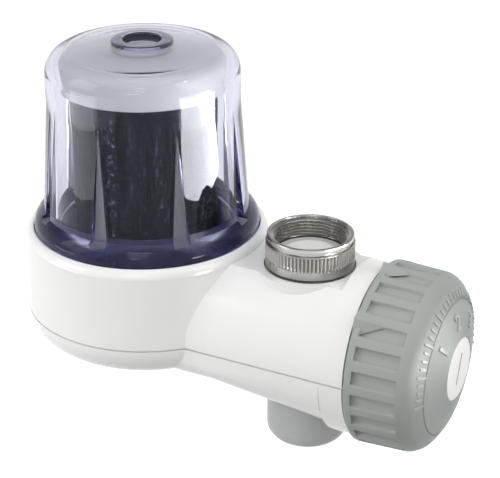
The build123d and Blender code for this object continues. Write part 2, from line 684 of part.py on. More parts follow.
with BuildPart() as carbon_block:
    with BuildSketch(level(CARTRIDGE_FOOT + CAP_WALL)):
        with Locations((CUP_X, 0)):
            Circle(CARBON_R)
            Circle(CARBON_BORE_R, mode=Mode.SUBTRACT)
    extrude(amount=CARBON_LENGTH)
save(carbon_block, "carbon_block")

# Slotted tube inside the carbon
with BuildPart() as core_tube:
    with BuildSketch(level(CARTRIDGE_FOOT + CAP_WALL)):
        with Locations((CUP_X, 0)):
            Circle(CORE_R)
            Circle(CORE_R - CORE_WALL, mode=Mode.SUBTRACT)
    extrude(amount=CARBON_LENGTH)
    slot_pitch = CARBON_LENGTH / CORE_SLOT_ROWS
    for row in range(CORE_SLOT_ROWS):
        centre = CARTRIDGE_FOOT + CAP_WALL + (row + 0.5) * slot_pitch
        with BuildSketch(level(centre)):
            with Locations((CUP_X, 0)):
                Rectangle(3 * CORE_R, CORE_R / 2, rotation=90 * (row % 2))
        extrude(amount=slot_pitch / 4, both=True, mode=Mode.SUBTRACT)
save(core_tube, "core_tube")

with BuildPart() as cartridge_top_cap:
    lid = outline(
        CUP_PLANE,
        [
            (0, CAP_TOP - CAP_WALL),
            (CARBON_R, CAP_TOP - CAP_WALL),
            (CARBON_R, CAP_RIM_BOTTOM),
            (CAP_R, CAP_RIM_BOTTOM),
            (CAP_R, CAP_TOP),
            (0, CAP_TOP),
        ],
    )
    revolve(lid, axis=CUP_AXIS)
    fillet(edges().filter_by(GeomType.CIRCLE).group_by(Axis.Z)[-1], CAP_ROUND)
save(cartridge_top_cap, "cartridge_top_cap")

with BuildPart() as cartridge_seal:
    with BuildSketch(level((CARTRIDGE_FOOT + SPIGOT_TOP) / 2)):
        with Locations((CUP_X, 0)):
            Circle(SPIGOT_R + FIT_CLEARANCE / 2)
            Circle(SPIGOT_R - SEAL_SECTION_R, mode=Mode.SUBTRACT)
    extrude(amount=SEAL_SECTION_R, both=True)
save(cartridge_seal, "cartridge_seal")

# Inlet: running collar, threaded ring, clip, washer and strainer
with BuildPart() as swivel_nut:
    collar = outline(
        SIDE_PLANE,
        [
            (NECK_R + NUT_RUNNING_GAP, NUT_BOTTOM),
            (NUT_R - NUT_CHAMFER, NUT_BOTTOM),
            (NUT_R, NUT_BOTTOM + NUT_CHAMFER),
            (NUT_R, NUT_TOP),
            (ADAPTER_R + ROTOR_CLEARANCE, NUT_TOP),
            (ADAPTER_R + ROTOR_CLEARANCE, NUT_LIP_TOP),
            (NECK_R + NUT_RUNNING_GAP, NUT_LIP_TOP),
        ],
    )
    revolve(collar, axis=INLET_AXIS)
save(swivel_nut, "swivel_nut")

with BuildPart() as thread_adapter:
    ring = outline(
        SIDE_PLANE,
        [
            (RELIEF_R, ADAPTER_BOTTOM),
            (ADAPTER_R, ADAPTER_BOTTOM),
            (ADAPTER_R, NUT_TOP),
            (ADAPTER_NECK_R, NUT_TOP),
            (ADAPTER_NECK_R, ADAPTER_LIP_BOTTOM),
            (ADAPTER_LIP_R, ADAPTER_LIP_BOTTOM),
            (ADAPTER_LIP_R, MOUTH_HEIGHT),
            (THREAD_R, MOUTH_HEIGHT),
            (THREAD_R, NECK_TOP + WASHER_HEIGHT),
            (RELIEF_R, NECK_TOP + WASHER_HEIGHT),
        ],
    )
    revolve(ring, axis=INLET_AXIS)
    rim = edges().filter_by(GeomType.CIRCLE).group_by(Axis.Z)[-1].sort_by(SortBy.RADIUS)[-1]
    fillet(rim, (MOUTH_HEIGHT - ADAPTER_LIP_BOTTOM) / 2)
save(thread_adapter, "thread_adapter")

with BuildPart() as nut_clip:
    with BuildSketch(level(CLIP_BOTTOM)):
        Circle(CLIP_R)
        Circle(NECK_R - CLIP_DEPTH, mode=Mode.SUBTRACT)
        with BuildLine():
            Line((0, 0), Vector(2 * CLIP_R, 0).rotate(Axis.Z, -CLIP_MOUTH_ANGLE / 2))
            Line((0, 0), Vector(2 * CLIP_R, 0).rotate(Axis.Z, CLIP_MOUTH_ANGLE / 2))
            Line(
                Vector(2 * CLIP_R, 0).rotate(Axis.Z, -CLIP_MOUTH_ANGLE / 2),
                Vector(2 * CLIP_R, 0).rotate(Axis.Z, CLIP_MOUTH_ANGLE / 2),
            )
        make_face(mode=Mode.SUBTRACT)
    extrude(amount=CLIP_HEIGHT)
save(nut_clip, "nut_clip")

with BuildPart() as inlet_washer:
    with BuildSketch(level(NECK_TOP)):
        Circle(WASHER_R)
        Circle(WASHER_BORE_R, mode=Mode.SUBTRACT)
    extrude(amount=WASHER_HEIGHT)
    with BuildSketch(level(NECK_TOP + WASHER_HEIGHT - STRAINER_HEIGHT)):
        Circle(STRAINER_R)
    extrude(amount=STRAINER_HEIGHT, mode=Mode.SUBTRACT)
save(inlet_washer, "inlet_washer")

with BuildPart() as inlet_strainer:
    with BuildSketch(level(NECK_TOP + WASHER_HEIGHT - STRAINER_HEIGHT)):
        Circle(STRAINER_R)
    extrude(amount=STRAINER_HEIGHT)
save(inlet_strainer, "inlet_strainer")

# Valve drum: ports, ring grooves, stem and square drive
with BuildPart() as valve_rotor:
    with BuildSketch(across(BARREL_START_X + BARREL_WALL + ROTOR_END_GAP)):
        Circle(VALVE_BORE_R - ROTOR_CLEARANCE)
    extrude(amount=ROTOR_SHOULDER_X - BARREL_START_X - BARREL_WALL - ROTOR_END_GAP)
    with BuildSketch(across(ROTOR_SHOULDER_X)):
        Circle(STEM_R)
    extrude(amount=STEM_SQUARE_X - ROTOR_SHOULDER_X)
    with BuildSketch(across(STEM_SQUARE_X)):
        Rectangle(STEM_SQUARE, STEM_SQUARE)
    extrude(amount=STEM_END_X - STEM_SQUARE_X)
    for start in O_RING_X:
        with BuildSketch(across(start)):
            Circle(VALVE_BORE_R)
            Circle(VALVE_BORE_R - O_RING_DEPTH, mode=Mode.SUBTRACT)
        extrude(amount=O_RING_WIDTH, mode=Mode.SUBTRACT)
    # Filtered water: down from the inlet to the feed duct, and from the return duct to the outlet
    for height, radius, reach in (
        (FEED_HEIGHT, FEED_R, VALVE_BORE_R),
        (RETURN_HEIGHT, RETURN_R, -VALVE_BORE_R),
    ):
        with BuildSketch(across(BARREL_START_X)):
            with Locations((0, height)):
                Circle(radius)
        extrude(amount=PORT_X - BARREL_START_X, mode=Mode.SUBTRACT)
        with BuildSketch(level(height)):
            with Locations((PORT_X, 0)):
                Circle(radius)
        extrude(amount=reach - height, mode=Mode.SUBTRACT)
    # Unfiltered water: two straight bores, each in line with the inlet at one click position
    for turn in (-CLICK_ANGLE, CLICK_ANGLE):
        bore_line = Vector(0, 0, 1).rotate(Axis.X, turn)
        with BuildSketch(Plane(origin=(BYPASS_X, 0, VALVE_Z), x_dir=(1, 0, 0), z_dir=bore_line)):
            Circle(BYPASS_R)
        extrude(amount=VALVE_BORE_R, both=True, mode=Mode.SUBTRACT)
    with BuildSketch(across(STEM_END_X)):
        Circle(KNOB_SCREW_R)
    extrude(amount=-KNOB_SCREW_DEPTH - FIT_CLEARANCE, mode=Mode.SUBTRACT)
save(valve_rotor, "valve_rotor")

with BuildPart() as rotor_rings:
    for start in O_RING_X:
        with BuildSketch(across(start)):
            Circle(VALVE_BORE_R - ROTOR_CLEARANCE / 2)
            Circle(VALVE_BORE_R - O_RING_DEPTH, mode=Mode.SUBTRACT)
        extrude(amount=O_RING_WIDTH)
save(rotor_rings, "rotor_rings")

with BuildPart() as valve_cover:
    with BuildSketch(across(BARREL_END_X)):
        Circle(CAVITY_R - FIT_CLEARANCE)
        Circle(STEM_R + ROTOR_CLEARANCE, mode=Mode.SUBTRACT)
        with Locations((0, CEILING + CAVITY_R - FIT_CLEARANCE)):
            Rectangle(3 * CAVITY_R, 2 * CAVITY_R, mode=Mode.SUBTRACT)
        with PolarLocations(COVER_SCREW_PCR, COVER_SCREW_COUNT):
            Circle(COVER_SCREW_R, mode=Mode.SUBTRACT)
    extrude(amount=COVER_PLATE)
save(valve_cover, "valve_cover")

with BuildPart() as cover_screws:
    with BuildSketch(across(BARREL_END_X + COVER_PLATE)):
        with PolarLocations(COVER_SCREW_PCR, COVER_SCREW_COUNT):
            Circle(COVER_SCREW_R)
    extrude(amount=FIT_CLEARANCE - COVER_SCREW_LENGTH)
    with BuildSketch(across(BARREL_END_X + COVER_PLATE)):
        with PolarLocations(COVER_SCREW_PCR, COVER_SCREW_COUNT):
            Circle(COVER_HEAD_R)
    extrude(amount=COVER_HEAD_HEIGHT)
save(cover_screws, "cover_screws")

# Knob: skirt with grip slots, stepped dome face, three pointers and the hub with its square
with BuildPart() as knob:
    with BuildSketch(SIDE_PLANE):
        with BuildLine():
            Polyline(
                (HUB_START_X, 0),
                (HUB_START_X, HUB_R),
                (KNOB_FACE_INNER_X, HUB_R),
                (KNOB_RIM_INNER_X, KNOB_R - KNOB_WALL),
                (KNOB_BACK_X, KNOB_R - KNOB_WALL),
                (KNOB_BACK_X, KNOB_BACK_R),
                (KNOB_BACK_X + KNOB_BACK_BEVEL, KNOB_R),
                (KNOB_EDGE_X, KNOB_EDGE_R),
            )
            ThreePointArc((KNOB_EDGE_X, KNOB_EDGE_R), KNOB_SHOULDER, (KNOB_BAND_X, KNOB_BAND_R))
            Polyline(
                (KNOB_BAND_X, KNOB_BAND_R),
                (GROOVE_RING_X, GROOVE_RING_R),
                (CAP_DISC_X + CAP_DISC_THICKNESS, CAP_DISC_R + CAP_DISC_GAP),
                (CAP_DISC_X, CAP_DISC_R + CAP_DISC_GAP),
                (CAP_DISC_X, 0),
                (HUB_START_X, 0),
            )
        make_face()
    revolve(axis=VALVE_AXIS)
    # Ribs behind the face, and the hub's square
    with BuildSketch(*[spoke((2 * rib + 1) * 180 / KNOB_RIB_COUNT) for rib in range(KNOB_RIB_COUNT)]):
        with BuildLine():
            Polyline(
                (KNOB_RIB_START_X, HUB_R - KNOB_RIB_WIDTH),
                (KNOB_RIB_START_X, KNOB_R - KNOB_WALL + KNOB_RIB_WIDTH / 2),
                (KNOB_RIM_INNER_X + KNOB_RIB_WIDTH / 2, KNOB_R - KNOB_WALL + KNOB_RIB_WIDTH / 2),
                (KNOB_FACE_INNER_X + KNOB_RIB_WIDTH / 2, HUB_R - KNOB_RIB_WIDTH),
                close=True,
            )
        make_face()
    extrude(amount=KNOB_RIB_WIDTH / 2, both=True)
    with BuildSketch(across(HUB_START_X)):
        Rectangle(STEM_SQUARE + 2 * SQUARE_CLEARANCE, STEM_SQUARE + 2 * SQUARE_CLEARANCE)
    extrude(amount=STEM_END_X - HUB_START_X, mode=Mode.SUBTRACT)
    with BuildSketch(across(STEM_END_X)):
        Circle(KNOB_SCREW_R + FIT_CLEARANCE / 2)
    extrude(amount=KNOB_SEAT_WALL, mode=Mode.SUBTRACT)
    with BuildSketch(across(STEM_END_X + KNOB_SEAT_WALL)):
        Circle(KNOB_SCREW_HEAD_R + FIT_CLEARANCE)
    extrude(amount=CAP_DISC_X - STEM_END_X, mode=Mode.SUBTRACT)
    # Ring groove on the face
    groove = outline(
        SIDE_PLANE,
        [
            (GROOVE_RING_X - GROOVE_DEPTH, GROOVE_RING_R - GROOVE_WIDTH / 2),
            (GROOVE_RING_X - GROOVE_DEPTH, GROOVE_RING_R + GROOVE_WIDTH / 2),
            (GROOVE_RING_X + GROOVE_WIDTH, GROOVE_RING_R + GROOVE_WIDTH / 2),
            (GROOVE_RING_X + GROOVE_WIDTH, GROOVE_RING_R - GROOVE_WIDTH / 2),
        ],
    )
    revolve(groove, axis=VALVE_AXIS, mode=Mode.SUBTRACT)
    # Grip slots, open at the face
    with BuildSketch(*[spoke(GRIP_ANGLE + grip * 360 / GRIP_COUNT) for grip in range(GRIP_COUNT)]):
        with Locations(((GRIP_START_X + CAP_DISC_X) / 2, GRIP_FLOOR_R + KNOB_R / 2)):
            Rectangle(CAP_DISC_X - GRIP_START_X, KNOB_R)
    extrude(amount=GRIP_WIDTH / 2, both=True, mode=Mode.SUBTRACT)
    # Pointers: ridges that run out to a tip, over the slots beside them
    for turn in (-CLICK_ANGLE, 0, CLICK_ANGLE):
        root_r = KNOB_R - KNOB_WALL / 2
        root_half = POINTER_HALF_WIDTH * (KNOB_R + POINTER_RISE - root_r) / POINTER_RISE
        with BuildSketch(across(KNOB_BACK_X)) as ridge:
            with BuildLine():
                Polyline(
                    Vector(-root_half, root_r).rotate(Axis.Z, -turn),
                    Vector(root_half, root_r).rotate(Axis.Z, -turn),
                    Vector(0, KNOB_R + POINTER_RISE).rotate(Axis.Z, -turn),
                    close=True,
                )
            make_face()
        outward = Vector(0, 0, 1).rotate(Axis.X, -turn)
        tip = Vector(POINTER_END_X, 0, VALVE_Z) + outward * KNOB_EDGE_R
        loft([ridge.sketch, Vertex(*tip)])
save(knob, "knob")

with BuildPart() as knob_cap:
    with BuildSketch(across(CAP_DISC_X)):
        Circle(CAP_DISC_R)
    extrude(amount=CAP_DISC_THICKNESS)
    fillet(faces().sort_by(Axis.X)[-1].edges(), CAP_DISC_THICKNESS / 5)
    with BuildSketch(across(CAP_DISC_X + CAP_DISC_THICKNESS)):
        Rectangle(MARK_WIDTH, MARK_LENGTH, rotation=-MARK_ANGLE)
    extrude(amount=MARK_RISE)
save(knob_cap, "knob_cap")

with BuildPart() as knob_screw:
    with BuildSketch(across(STEM_END_X + KNOB_SEAT_WALL)):
        Circle(KNOB_SCREW_R)
    extrude(amount=-KNOB_SEAT_WALL - KNOB_SCREW_DEPTH)
    with BuildSketch(across(STEM_END_X + KNOB_SEAT_WALL)):
        Circle(KNOB_SCREW_HEAD_R)
    extrude(amount=KNOB_SCREW_HEAD)
save(knob_screw, "knob_screw")

# Outlet spout: its top follows the ramp of the cover and clears the barrel
with BuildPart() as outlet_spout:
    with BuildSketch(SIDE_PLANE):
        with BuildLine():
            Polyline(
                (SPRAY_R - SPRAY_LEDGE, SPOUT_BOTTOM),
                (SPOUT_R - SPOUT_CORNER, SPOUT_BOTTOM),
            )
            RadiusArc(
                (SPOUT_R - SPOUT_CORNER, SPOUT_BOTTOM),
                (SPOUT_R, SPOUT_BOTTOM + SPOUT_CORNER),
                -SPOUT_CORNER,
            )
            Polyline(
                (SPOUT_R, SPOUT_BOTTOM + SPOUT_CORNER),
                (SPOUT_R, 0),
                (SPOUT_R - SPOUT_WALL, 0),
                (SPOUT_R - SPOUT_WALL, OUTLET_SHOULDER),
                (OUTLET_NECK_R + ROTOR_CLEARANCE, OUTLET_SHOULDER),
                (OUTLET_NECK_R + ROTOR_CLEARANCE, OUTLET_SHOULDER - SPOUT_WEB),
                (SPOUT_R - SPOUT_WALL, OUTLET_SHOULDER - SPOUT_WEB),
                (SPOUT_R - SPOUT_WALL, SPOUT_BOTTOM + SPOUT_CORNER),
                (SPRAY_R, SPOUT_BOTTOM + SPOUT_WALL),
                (SPRAY_R, SPRAY_SEAT),
                (SPRAY_R - SPRAY_LEDGE, SPRAY_SEAT),
                (SPRAY_R - SPRAY_LEDGE, SPOUT_BOTTOM),
            )
        make_face()
    revolve(axis=INLET_AXIS)
    with BuildSketch(SIDE_PLANE):
        with BuildLine():
            Polyline(
                (-2 * SPOUT_R, RAMP_TOP_LEFT),
                (2 * SPOUT_R, RAMP_TOP_RIGHT),
                (2 * SPOUT_R, 0),
                (-2 * SPOUT_R, 0),
                close=True,
            )
        make_face()
    extrude(amount=2 * SPOUT_R, both=True, mode=Mode.SUBTRACT)
    with BuildSketch(across(-2 * SPOUT_R)):
        Circle(BARREL_R + FIT_CLEARANCE)
    extrude(amount=4 * SPOUT_R, mode=Mode.SUBTRACT)
save(outlet_spout, "outlet_spout")

with BuildPart() as spray_plate:
    with BuildSketch(level(SPRAY_SEAT)):
        Circle(SPRAY_R)
        Circle(STREAM_HOLE_R, mode=Mode.SUBTRACT)
        with PolarLocations(SPRAY_RING_R, SPRAY_RING_COUNT):
            Circle(SPRAY_HOLE_R, mode=Mode.SUBTRACT)
    extrude(amount=SPRAY_THICKNESS)
save(spray_plate, "spray_plate")

with BuildPart() as outlet_seal:
    with BuildSketch(level((OUTLET_SHOULDER + OUTLET_NECK_BOTTOM) / 2)):
        Circle(OUTLET_NECK_R + ROTOR_CLEARANCE)
        Circle(OUTLET_NECK_R - SEAL_SECTION_R, mode=Mode.SUBTRACT)
    extrude(amount=SEAL_SECTION_R, both=True)
save(outlet_seal, "outlet_seal")

with BuildPart() as housing_screws:
    with BuildSketch(level(SHELL_SCREW_SEAT)):
        with Locations(*BASE_POSTS, *ARM_POSTS):
            Circle(SHELL_SCREW_R)
    extrude(amount=SHELL_SCREW_END - SHELL_SCREW_SEAT - FIT_CLEARANCE)
    with BuildSketch(level(SHELL_SCREW_SEAT)):
        with Locations(*BASE_POSTS, *ARM_POSTS):
            Circle(SHELL_SCREW_HEAD_R)
    extrude(amount=-SHELL_SCREW_HEAD)
save(housing_screws, "housing_screws")
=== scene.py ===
"""Faucet mount water filter: clear cup, white housing, metal inlet, selector knob and outlet.

Sizes are in millimetres, and heights are measured from the valve's axis, as on a drawing of the part.
The mesh builders turn them into metres.
"""
import json
import math

import bmesh
import bpy
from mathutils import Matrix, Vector


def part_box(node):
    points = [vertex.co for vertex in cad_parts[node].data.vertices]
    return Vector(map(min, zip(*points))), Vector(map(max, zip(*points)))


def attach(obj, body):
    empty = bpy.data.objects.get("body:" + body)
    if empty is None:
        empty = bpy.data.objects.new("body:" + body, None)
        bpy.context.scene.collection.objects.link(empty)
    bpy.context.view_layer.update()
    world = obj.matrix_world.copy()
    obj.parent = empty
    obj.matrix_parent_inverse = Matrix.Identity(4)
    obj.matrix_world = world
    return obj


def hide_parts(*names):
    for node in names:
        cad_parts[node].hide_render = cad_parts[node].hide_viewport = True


MM = 0.001

# Places taken from the frame
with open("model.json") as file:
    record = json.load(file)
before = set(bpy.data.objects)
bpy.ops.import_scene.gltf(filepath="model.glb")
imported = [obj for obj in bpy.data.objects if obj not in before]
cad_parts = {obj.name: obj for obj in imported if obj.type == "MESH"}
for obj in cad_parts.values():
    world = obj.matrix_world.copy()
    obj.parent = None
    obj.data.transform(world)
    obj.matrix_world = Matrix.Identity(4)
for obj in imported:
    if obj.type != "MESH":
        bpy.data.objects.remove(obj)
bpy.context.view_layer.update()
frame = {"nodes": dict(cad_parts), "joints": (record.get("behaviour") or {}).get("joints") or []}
joints = {joint["name"]: joint for joint in frame["joints"]}
VALVE = Vector(joints["knob_turn"]["pos_m"]) / MM
CUP = Vector((joints["cup_turn"]["pos_m"][0] / MM, 0.0, VALVE.z))
CUP_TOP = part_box("clear_cup")[1].z / MM - VALVE.z
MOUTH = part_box("thread_adapter")[1].z / MM - VALVE.z

# Camera: the photograph's view of the part, in metres
CAMERA_PLACE = Vector((0.168144, -0.362727, 0.185795))
CAMERA_TARGET = Vector((-0.019712, 0.0, -0.006553))
LENS = 109.8
SENSOR = 36.0

# Clear cup
SKIRT_R = 31.0
SKIRT_BOTTOM = 14.0
FLANGE_R = 34.3
FLANGE_EDGE = 0.3
FLANGE_BOTTOM = 24.4
FLANGE_SIDE_TOP = 27.3
FLANGE_TOP = 31.4
CUP_FOOT_R = 31.1
CUP_BODY_R = 28.75
FLARE_TOP = 65.0
DOME_START = 73.5
DOME_CORNER = 7.3
CROWN_RISE = 1.2
CUP_WALL = 2.8
CUP_TOP_WALL = 2.2
BOSS_R = 9.1
BOSS_EDGE = 0.25
RECESS_R = 5.65
RECESS_DEPTH = 2.4
FLUTES = 8
FLUTE_ANGLE = 4.5
FLUTE_HALF_WIDTH = 2.6
FLUTE_BOTTOM = 30.2
# Top of the hazed band inside the foot, whose navy is partly the plastic's tint and partly painted
# shade
MATT_SHADE_TOP = 32.0
WALL_STEPS = 14
DOME_STEPS = 14
CEILING_STEPS = 12
CROWN_STEPS = 8
SPAN_STEPS = 12

# Metal inlet
THREAD_CREST_R = 10.46
THREAD_ROOT_R = 11.25
THREAD_PITCH = 1.0
THREAD_RUN_OUT = 0.4
THREAD_FLAT = 0.75
THREAD_TOP_GAP = 0.15
LEAD_IN = 1.0
LEAD_IN_DEPTH = 1.3
ADAPTER_R = 11.9
ADAPTER_BORE_R = 10.9
ADAPTER_NECK_R = 12.4
ADAPTER_LIP_R = 12.7
ADAPTER_LIP_EDGE = 0.3
ADAPTER_LIP_BOTTOM = 31.6
ADAPTER_BOTTOM = 24.9
NUT_R = 13.05
NUT_BOTTOM = 22.9
NUT_TOP = 30.8
NUT_CHAMFER = 0.7
NUT_EDGE = 0.2
NUT_BORE_R = 11.95
NUT_LIP_R = 9.6
NUT_LIP_TOP = 23.75
KNURL_BOTTOM = 26.3
KNURL_TOP = 30.1
KNURL_RUN_OUT = 0.3
KNURL_COUNT = 72
KNURL_DEPTH = 0.6
KNURL_SHAPE = (0.0, 0.1, 0.7, 1.0, 0.7, 0.1)
WASHER_TOP = 26.6

# Knob
KNOB_BACK_X = 22.98
KNOB_BACK_R = 26.4
KNOB_BACK_EDGE = 0.8
KNOB_R = 27.1
KNOB_EDGE_X = 38.0
KNOB_EDGE_R = 26.5
KNOB_EDGE_MIDDLE = (40.7, 25.4)
KNOB_BAND = (42.7, 23.2)
GROOVE_RING_X = 44.5
GROOVE_RING_R = 20.0
GROOVE_WIDTH = 0.45
GROOVE_DEPTH = 0.3
GROOVE_DRAFT = 0.08
KNOB_WALL = 2.6
KNOB_HOLLOW_BEVEL = (3.0, 6.0)
FACE_STEPS = 6
GRIPS = 24
GRIP_ANGLE = -5.0
GRIP_WIDTH = 3.8
GRIP_EDGE = 0.28
GRIP_FLOOR_R = 25.6
GRIP_START_X = 25.2
GRIP_END_X = 38.3
GRIP_ROWS = 5
RIB_STEPS = 6
POINTER_RISE = 1.4
POINTER_END_X = 32.0
POINTER_HALF_WIDTH = 2.5
POINTER_TIP = 0.25
CLICK_ANGLE = 45.0

# Dial: numbers on the inner band, ticks on the outer one
NUMBER_R = 14.6
NUMBER_SIZE = 6.4
NUMBER_RISE = 0.45
TICK_R = (KNOB_BAND[1] + GROOVE_RING_R) / 2 + 0.1
TICK_COUNT = 33
TICK_START = -96.0
TICK_STEP = 6.0
TICK_LONG_EVERY = 4
TICK_LONG = 3.0
TICK_SHORT = 1.9
TICK_WIDTH = 0.8
TICK_RISE = 0.42
TICK_SINK = 0.2

# Cap in the middle of the knob, with its mark
CAP_R = 9.4
CAP_EDGE = 0.45
CAP_GAP = 0.15
CAP_BACK_X = 45.4
CAP_FRONT_X = 47.4
MARK_LENGTH = 9.6
MARK_WIDTH = 0.7
MARK_ANGLE = 20.0
MARK_RISE = 0.12
MARK_SINK = 0.1

# Studio, in metres and watts
FLOOR_Z = -0.11
FLOOR_HALF = 3.0
LAMP_TARGET = Vector((-0.02, 0, -0.01))
TUBE_DISTANCE = 0.8
TUBE_SIZE = (0.3, 0.02)
TUBE_ELEVATIONS = (22.0, 36.0, 50.0)
TUBE_GROUPS = (("front", -73.0, 0.35), ("side", 2.0, 0.55))
LAMPS = (
    ("low_side", (0.2, 0.02, -0.045), (0.21, 0.03), 1.0),
    ("low_left", (-0.25, -0.2, -0.05), (0.2, 0.04), 0.11),
    ("key_left", (-0.6, -0.5, 0.38), (0.45, 0.45), 1.85),
    ("top", (0.1, 0.0, 0.9), (0.6, 0.6), 1.3),
    ("low_front", (-0.2, -0.35, -0.07), (0.3, 0.05), 0.13),
)
REFLECTION_LAMP = "low_side"
MATT_LAMP = "low_front"


# Curves and mesh builders

def arc(centre, radius, start, end, steps):
    """Points of a round corner, from one angle to another in degrees."""
    points = []
    for step in range(steps + 1):
        angle = math.radians(start + (end - start) * step / steps)
        points.append((centre[0] + radius * math.cos(angle), centre[1] + radius * math.sin(angle)))
    return points


def arc_through(start, middle, end, steps):
    """Points of the arc through three points."""
    ax, ay = start
    bx, by = middle
    cx, cy = end
    a = ax * ax + ay * ay
    b = bx * bx + by * by
    c = cx * cx + cy * cy
    d = 2 * (ax * (by - cy) + bx * (cy - ay) + cx * (ay - by))
    ux = (a * (by - cy) + b * (cy - ay) + c * (ay - by)) / d
    uy = (a * (cx - bx) + b * (ax - cx) + c * (bx - ax)) / d
    radius = math.hypot(ax - ux, ay - uy)
    first = math.degrees(math.atan2(ay - uy, ax - ux))
    last = math.degrees(math.atan2(cy - uy, cx - ux))
    if last - first > 180:
        last -= 360
    if first - last > 180:
        last += 360
    return arc((ux, uy), radius, first, last, steps)


def rounded_bar(length, width):
    """Outline of a bar with round ends, around the origin and along the second axis."""
    half = length / 2 - width / 2
    return arc((0, half), width / 2, 0, 180, 6) + arc((0, -half), width / 2, 180, 360, 6)


def raised_faces(count):
    """Side faces between two rings of points, and the face on the upper ring."""
    faces = [(i, (i + 1) % count, count + (i + 1) % count, count + i) for i in range(count)]
    faces.append(tuple(count + i for i in range(count)))
    return faces


def piece(name, mesh, body, material, replaces=()):
    """Finish a mesh as a piece: link it, put its material in its one slot, and tie it to its body."""
    obj = bpy.data.objects.new(name, mesh)
    bpy.context.scene.collection.objects.link(obj)
    obj.data.materials.clear()
    obj.data.materials.append(material)
    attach(obj, body)
    if replaces:
        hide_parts(*replaces)
    return obj


def finish_mesh(name, verts, faces, sharp=32.0):
    """Mesh from points in millimetres, welded, facing outward and smooth between sharp edges."""
    weld = 1e-7
    mesh = bpy.data.meshes.new(name)
    bm = bmesh.new()
    points = [bm.verts.new((x * MM, y * MM, z * MM)) for x, y, z in verts]
    for face in faces:
        bm.faces.new([points[i] for i in face])
    bmesh.ops.remove_doubles(bm, verts=bm.verts, dist=weld)
    bmesh.ops.dissolve_degenerate(bm, dist=weld, edges=bm.edges)
    bmesh.ops.recalc_face_normals(bm, faces=bm.faces)
    bm.to_mesh(mesh)
    bm.free()
    for polygon in mesh.polygons:
        polygon.use_smooth = True
    mesh.set_sharp_from_angle(angle=math.radians(sharp))
    return mesh


def upright(centre):
    """Placing of a radius, an angle and a height on a vertical axis."""
    def place(radius, angle, height):
        x = centre.x + radius * math.cos(angle)
        y = centre.y + radius * math.sin(angle)
        return x, y, centre.z + height
    return place


def lengthwise(radius, angle, x):
    """Place a radius, an angle from +Z towards +Y and an x on the valve's axis."""
    return (x, radius * math.sin(angle), VALVE.z + radius * math.cos(angle))


def grid(rows, columns, place, shape, closed_rows=True):
    """Points and faces of a turned surface: shape(row, column) gives radius, angle and height."""
    verts = [place(*shape(row, column)) for row in range(rows) for column in range(columns)]
    faces = []
    for row in range(rows if closed_rows else rows - 1):
        below = row * columns
        above = ((row + 1) % rows) * columns
        for column in range(columns):
            beside = (column + 1) % columns
            faces.append((below + column, below + beside, above + beside, above + column))
    return verts, faces


def turned(name, profile, place, segments=96, sharp=32.0):
    """Turned solid from a profile of radius and height that closes on itself or ends on the axis."""
    on_axis = profile[0][0] == 0 and profile[-1][0] == 0

    def shape(row, column):
        radius, height = profile[row]
        return radius, 2 * math.pi * column / segments, height

    verts, faces = grid(len(profile), segments, place, shape, closed_rows=not on_axis)
    return finish_mesh(name, verts, faces, sharp)


# Materials

def shader(name, **values):
    """New material; values go straight onto the sockets of its Principled shader."""
    material = bpy.data.materials.new(name)
    material.use_nodes = True
    principled = material.node_tree.nodes["Principled BSDF"]
    for socket, value in values.items():
        principled.inputs[socket.replace("_", " ")].default_value = value
    return material, material.node_tree, principled


def node(tree, kind, **values):
    """Node of one kind, with plain settings and socket values by name."""
    made = tree.nodes.new(kind)
    for key, value in values.items():
        if hasattr(made, key):
            setattr(made, key, value)
        else:
            made.inputs[key.replace("_", " ")].default_value = value
    return made


def noise(tree, scale, detail=4.0, roughness=0.55, stretch=(1, 1, 1)):
    """Noise in object space, its scale in features per metre."""
    place = node(tree, "ShaderNodeTexCoord")
    mapping = node(tree, "ShaderNodeMapping")
    mapping.inputs["Scale"].default_value = stretch
    texture = node(tree, "ShaderNodeTexNoise", Scale=scale, Detail=detail, Roughness=roughness)
    tree.links.new(place.outputs["Object"], mapping.inputs["Vector"])
    tree.links.new(mapping.outputs["Vector"], texture.inputs["Vector"])
    return texture


def spread(tree, source, low, high, start=0.3, end=0.7):
    """Map a grey value onto another range."""
    made = node(tree, "ShaderNodeMapRange")
    made.inputs["From Min"].default_value = start
    made.inputs["From Max"].default_value = end
    made.inputs["To Min"].default_value = low
    made.inputs["To Max"].default_value = high
    tree.links.new(source, made.inputs["Value"])
    return made.outputs["Result"]


def tint(tree, source, dark, light):
    """Blend of two colours by a grey value."""
    ramp = node(tree, "ShaderNodeValToRGB")
    ramp.color_ramp.elements[0].color = (*dark, 1)
    ramp.color_ramp.elements[1].color = (*light, 1)
    tree.links.new(source, ramp.inputs["Fac"])
    return ramp.outputs["Color"]


def bump(tree, principled, source, strength, distance):
    """Fine relief from a grey value; distance in metres."""
    made = node(tree, "ShaderNodeBump", Strength=strength, Distance=distance)
    tree.links.new(source, made.inputs["Height"])
    tree.links.new(made.outputs["Normal"], principled.inputs["Normal"])


def either(tree, first, second):
    """The larger of two grey values."""
    made = node(tree, "ShaderNodeMath", operation="MAXIMUM")
    tree.links.new(first, made.inputs[0])
    tree.links.new(second, made.inputs[1])
    return made.outputs["Value"]


def blend(tree, share, first, second):
    """Mix of two shaders by a grey value."""
    made = node(tree, "ShaderNodeMixShader")
    tree.links.new(share, made.inputs["Fac"])
    tree.links.new(first, made.inputs[1])
    tree.links.new(second, made.inputs[2])
    return made.outputs["Shader"]


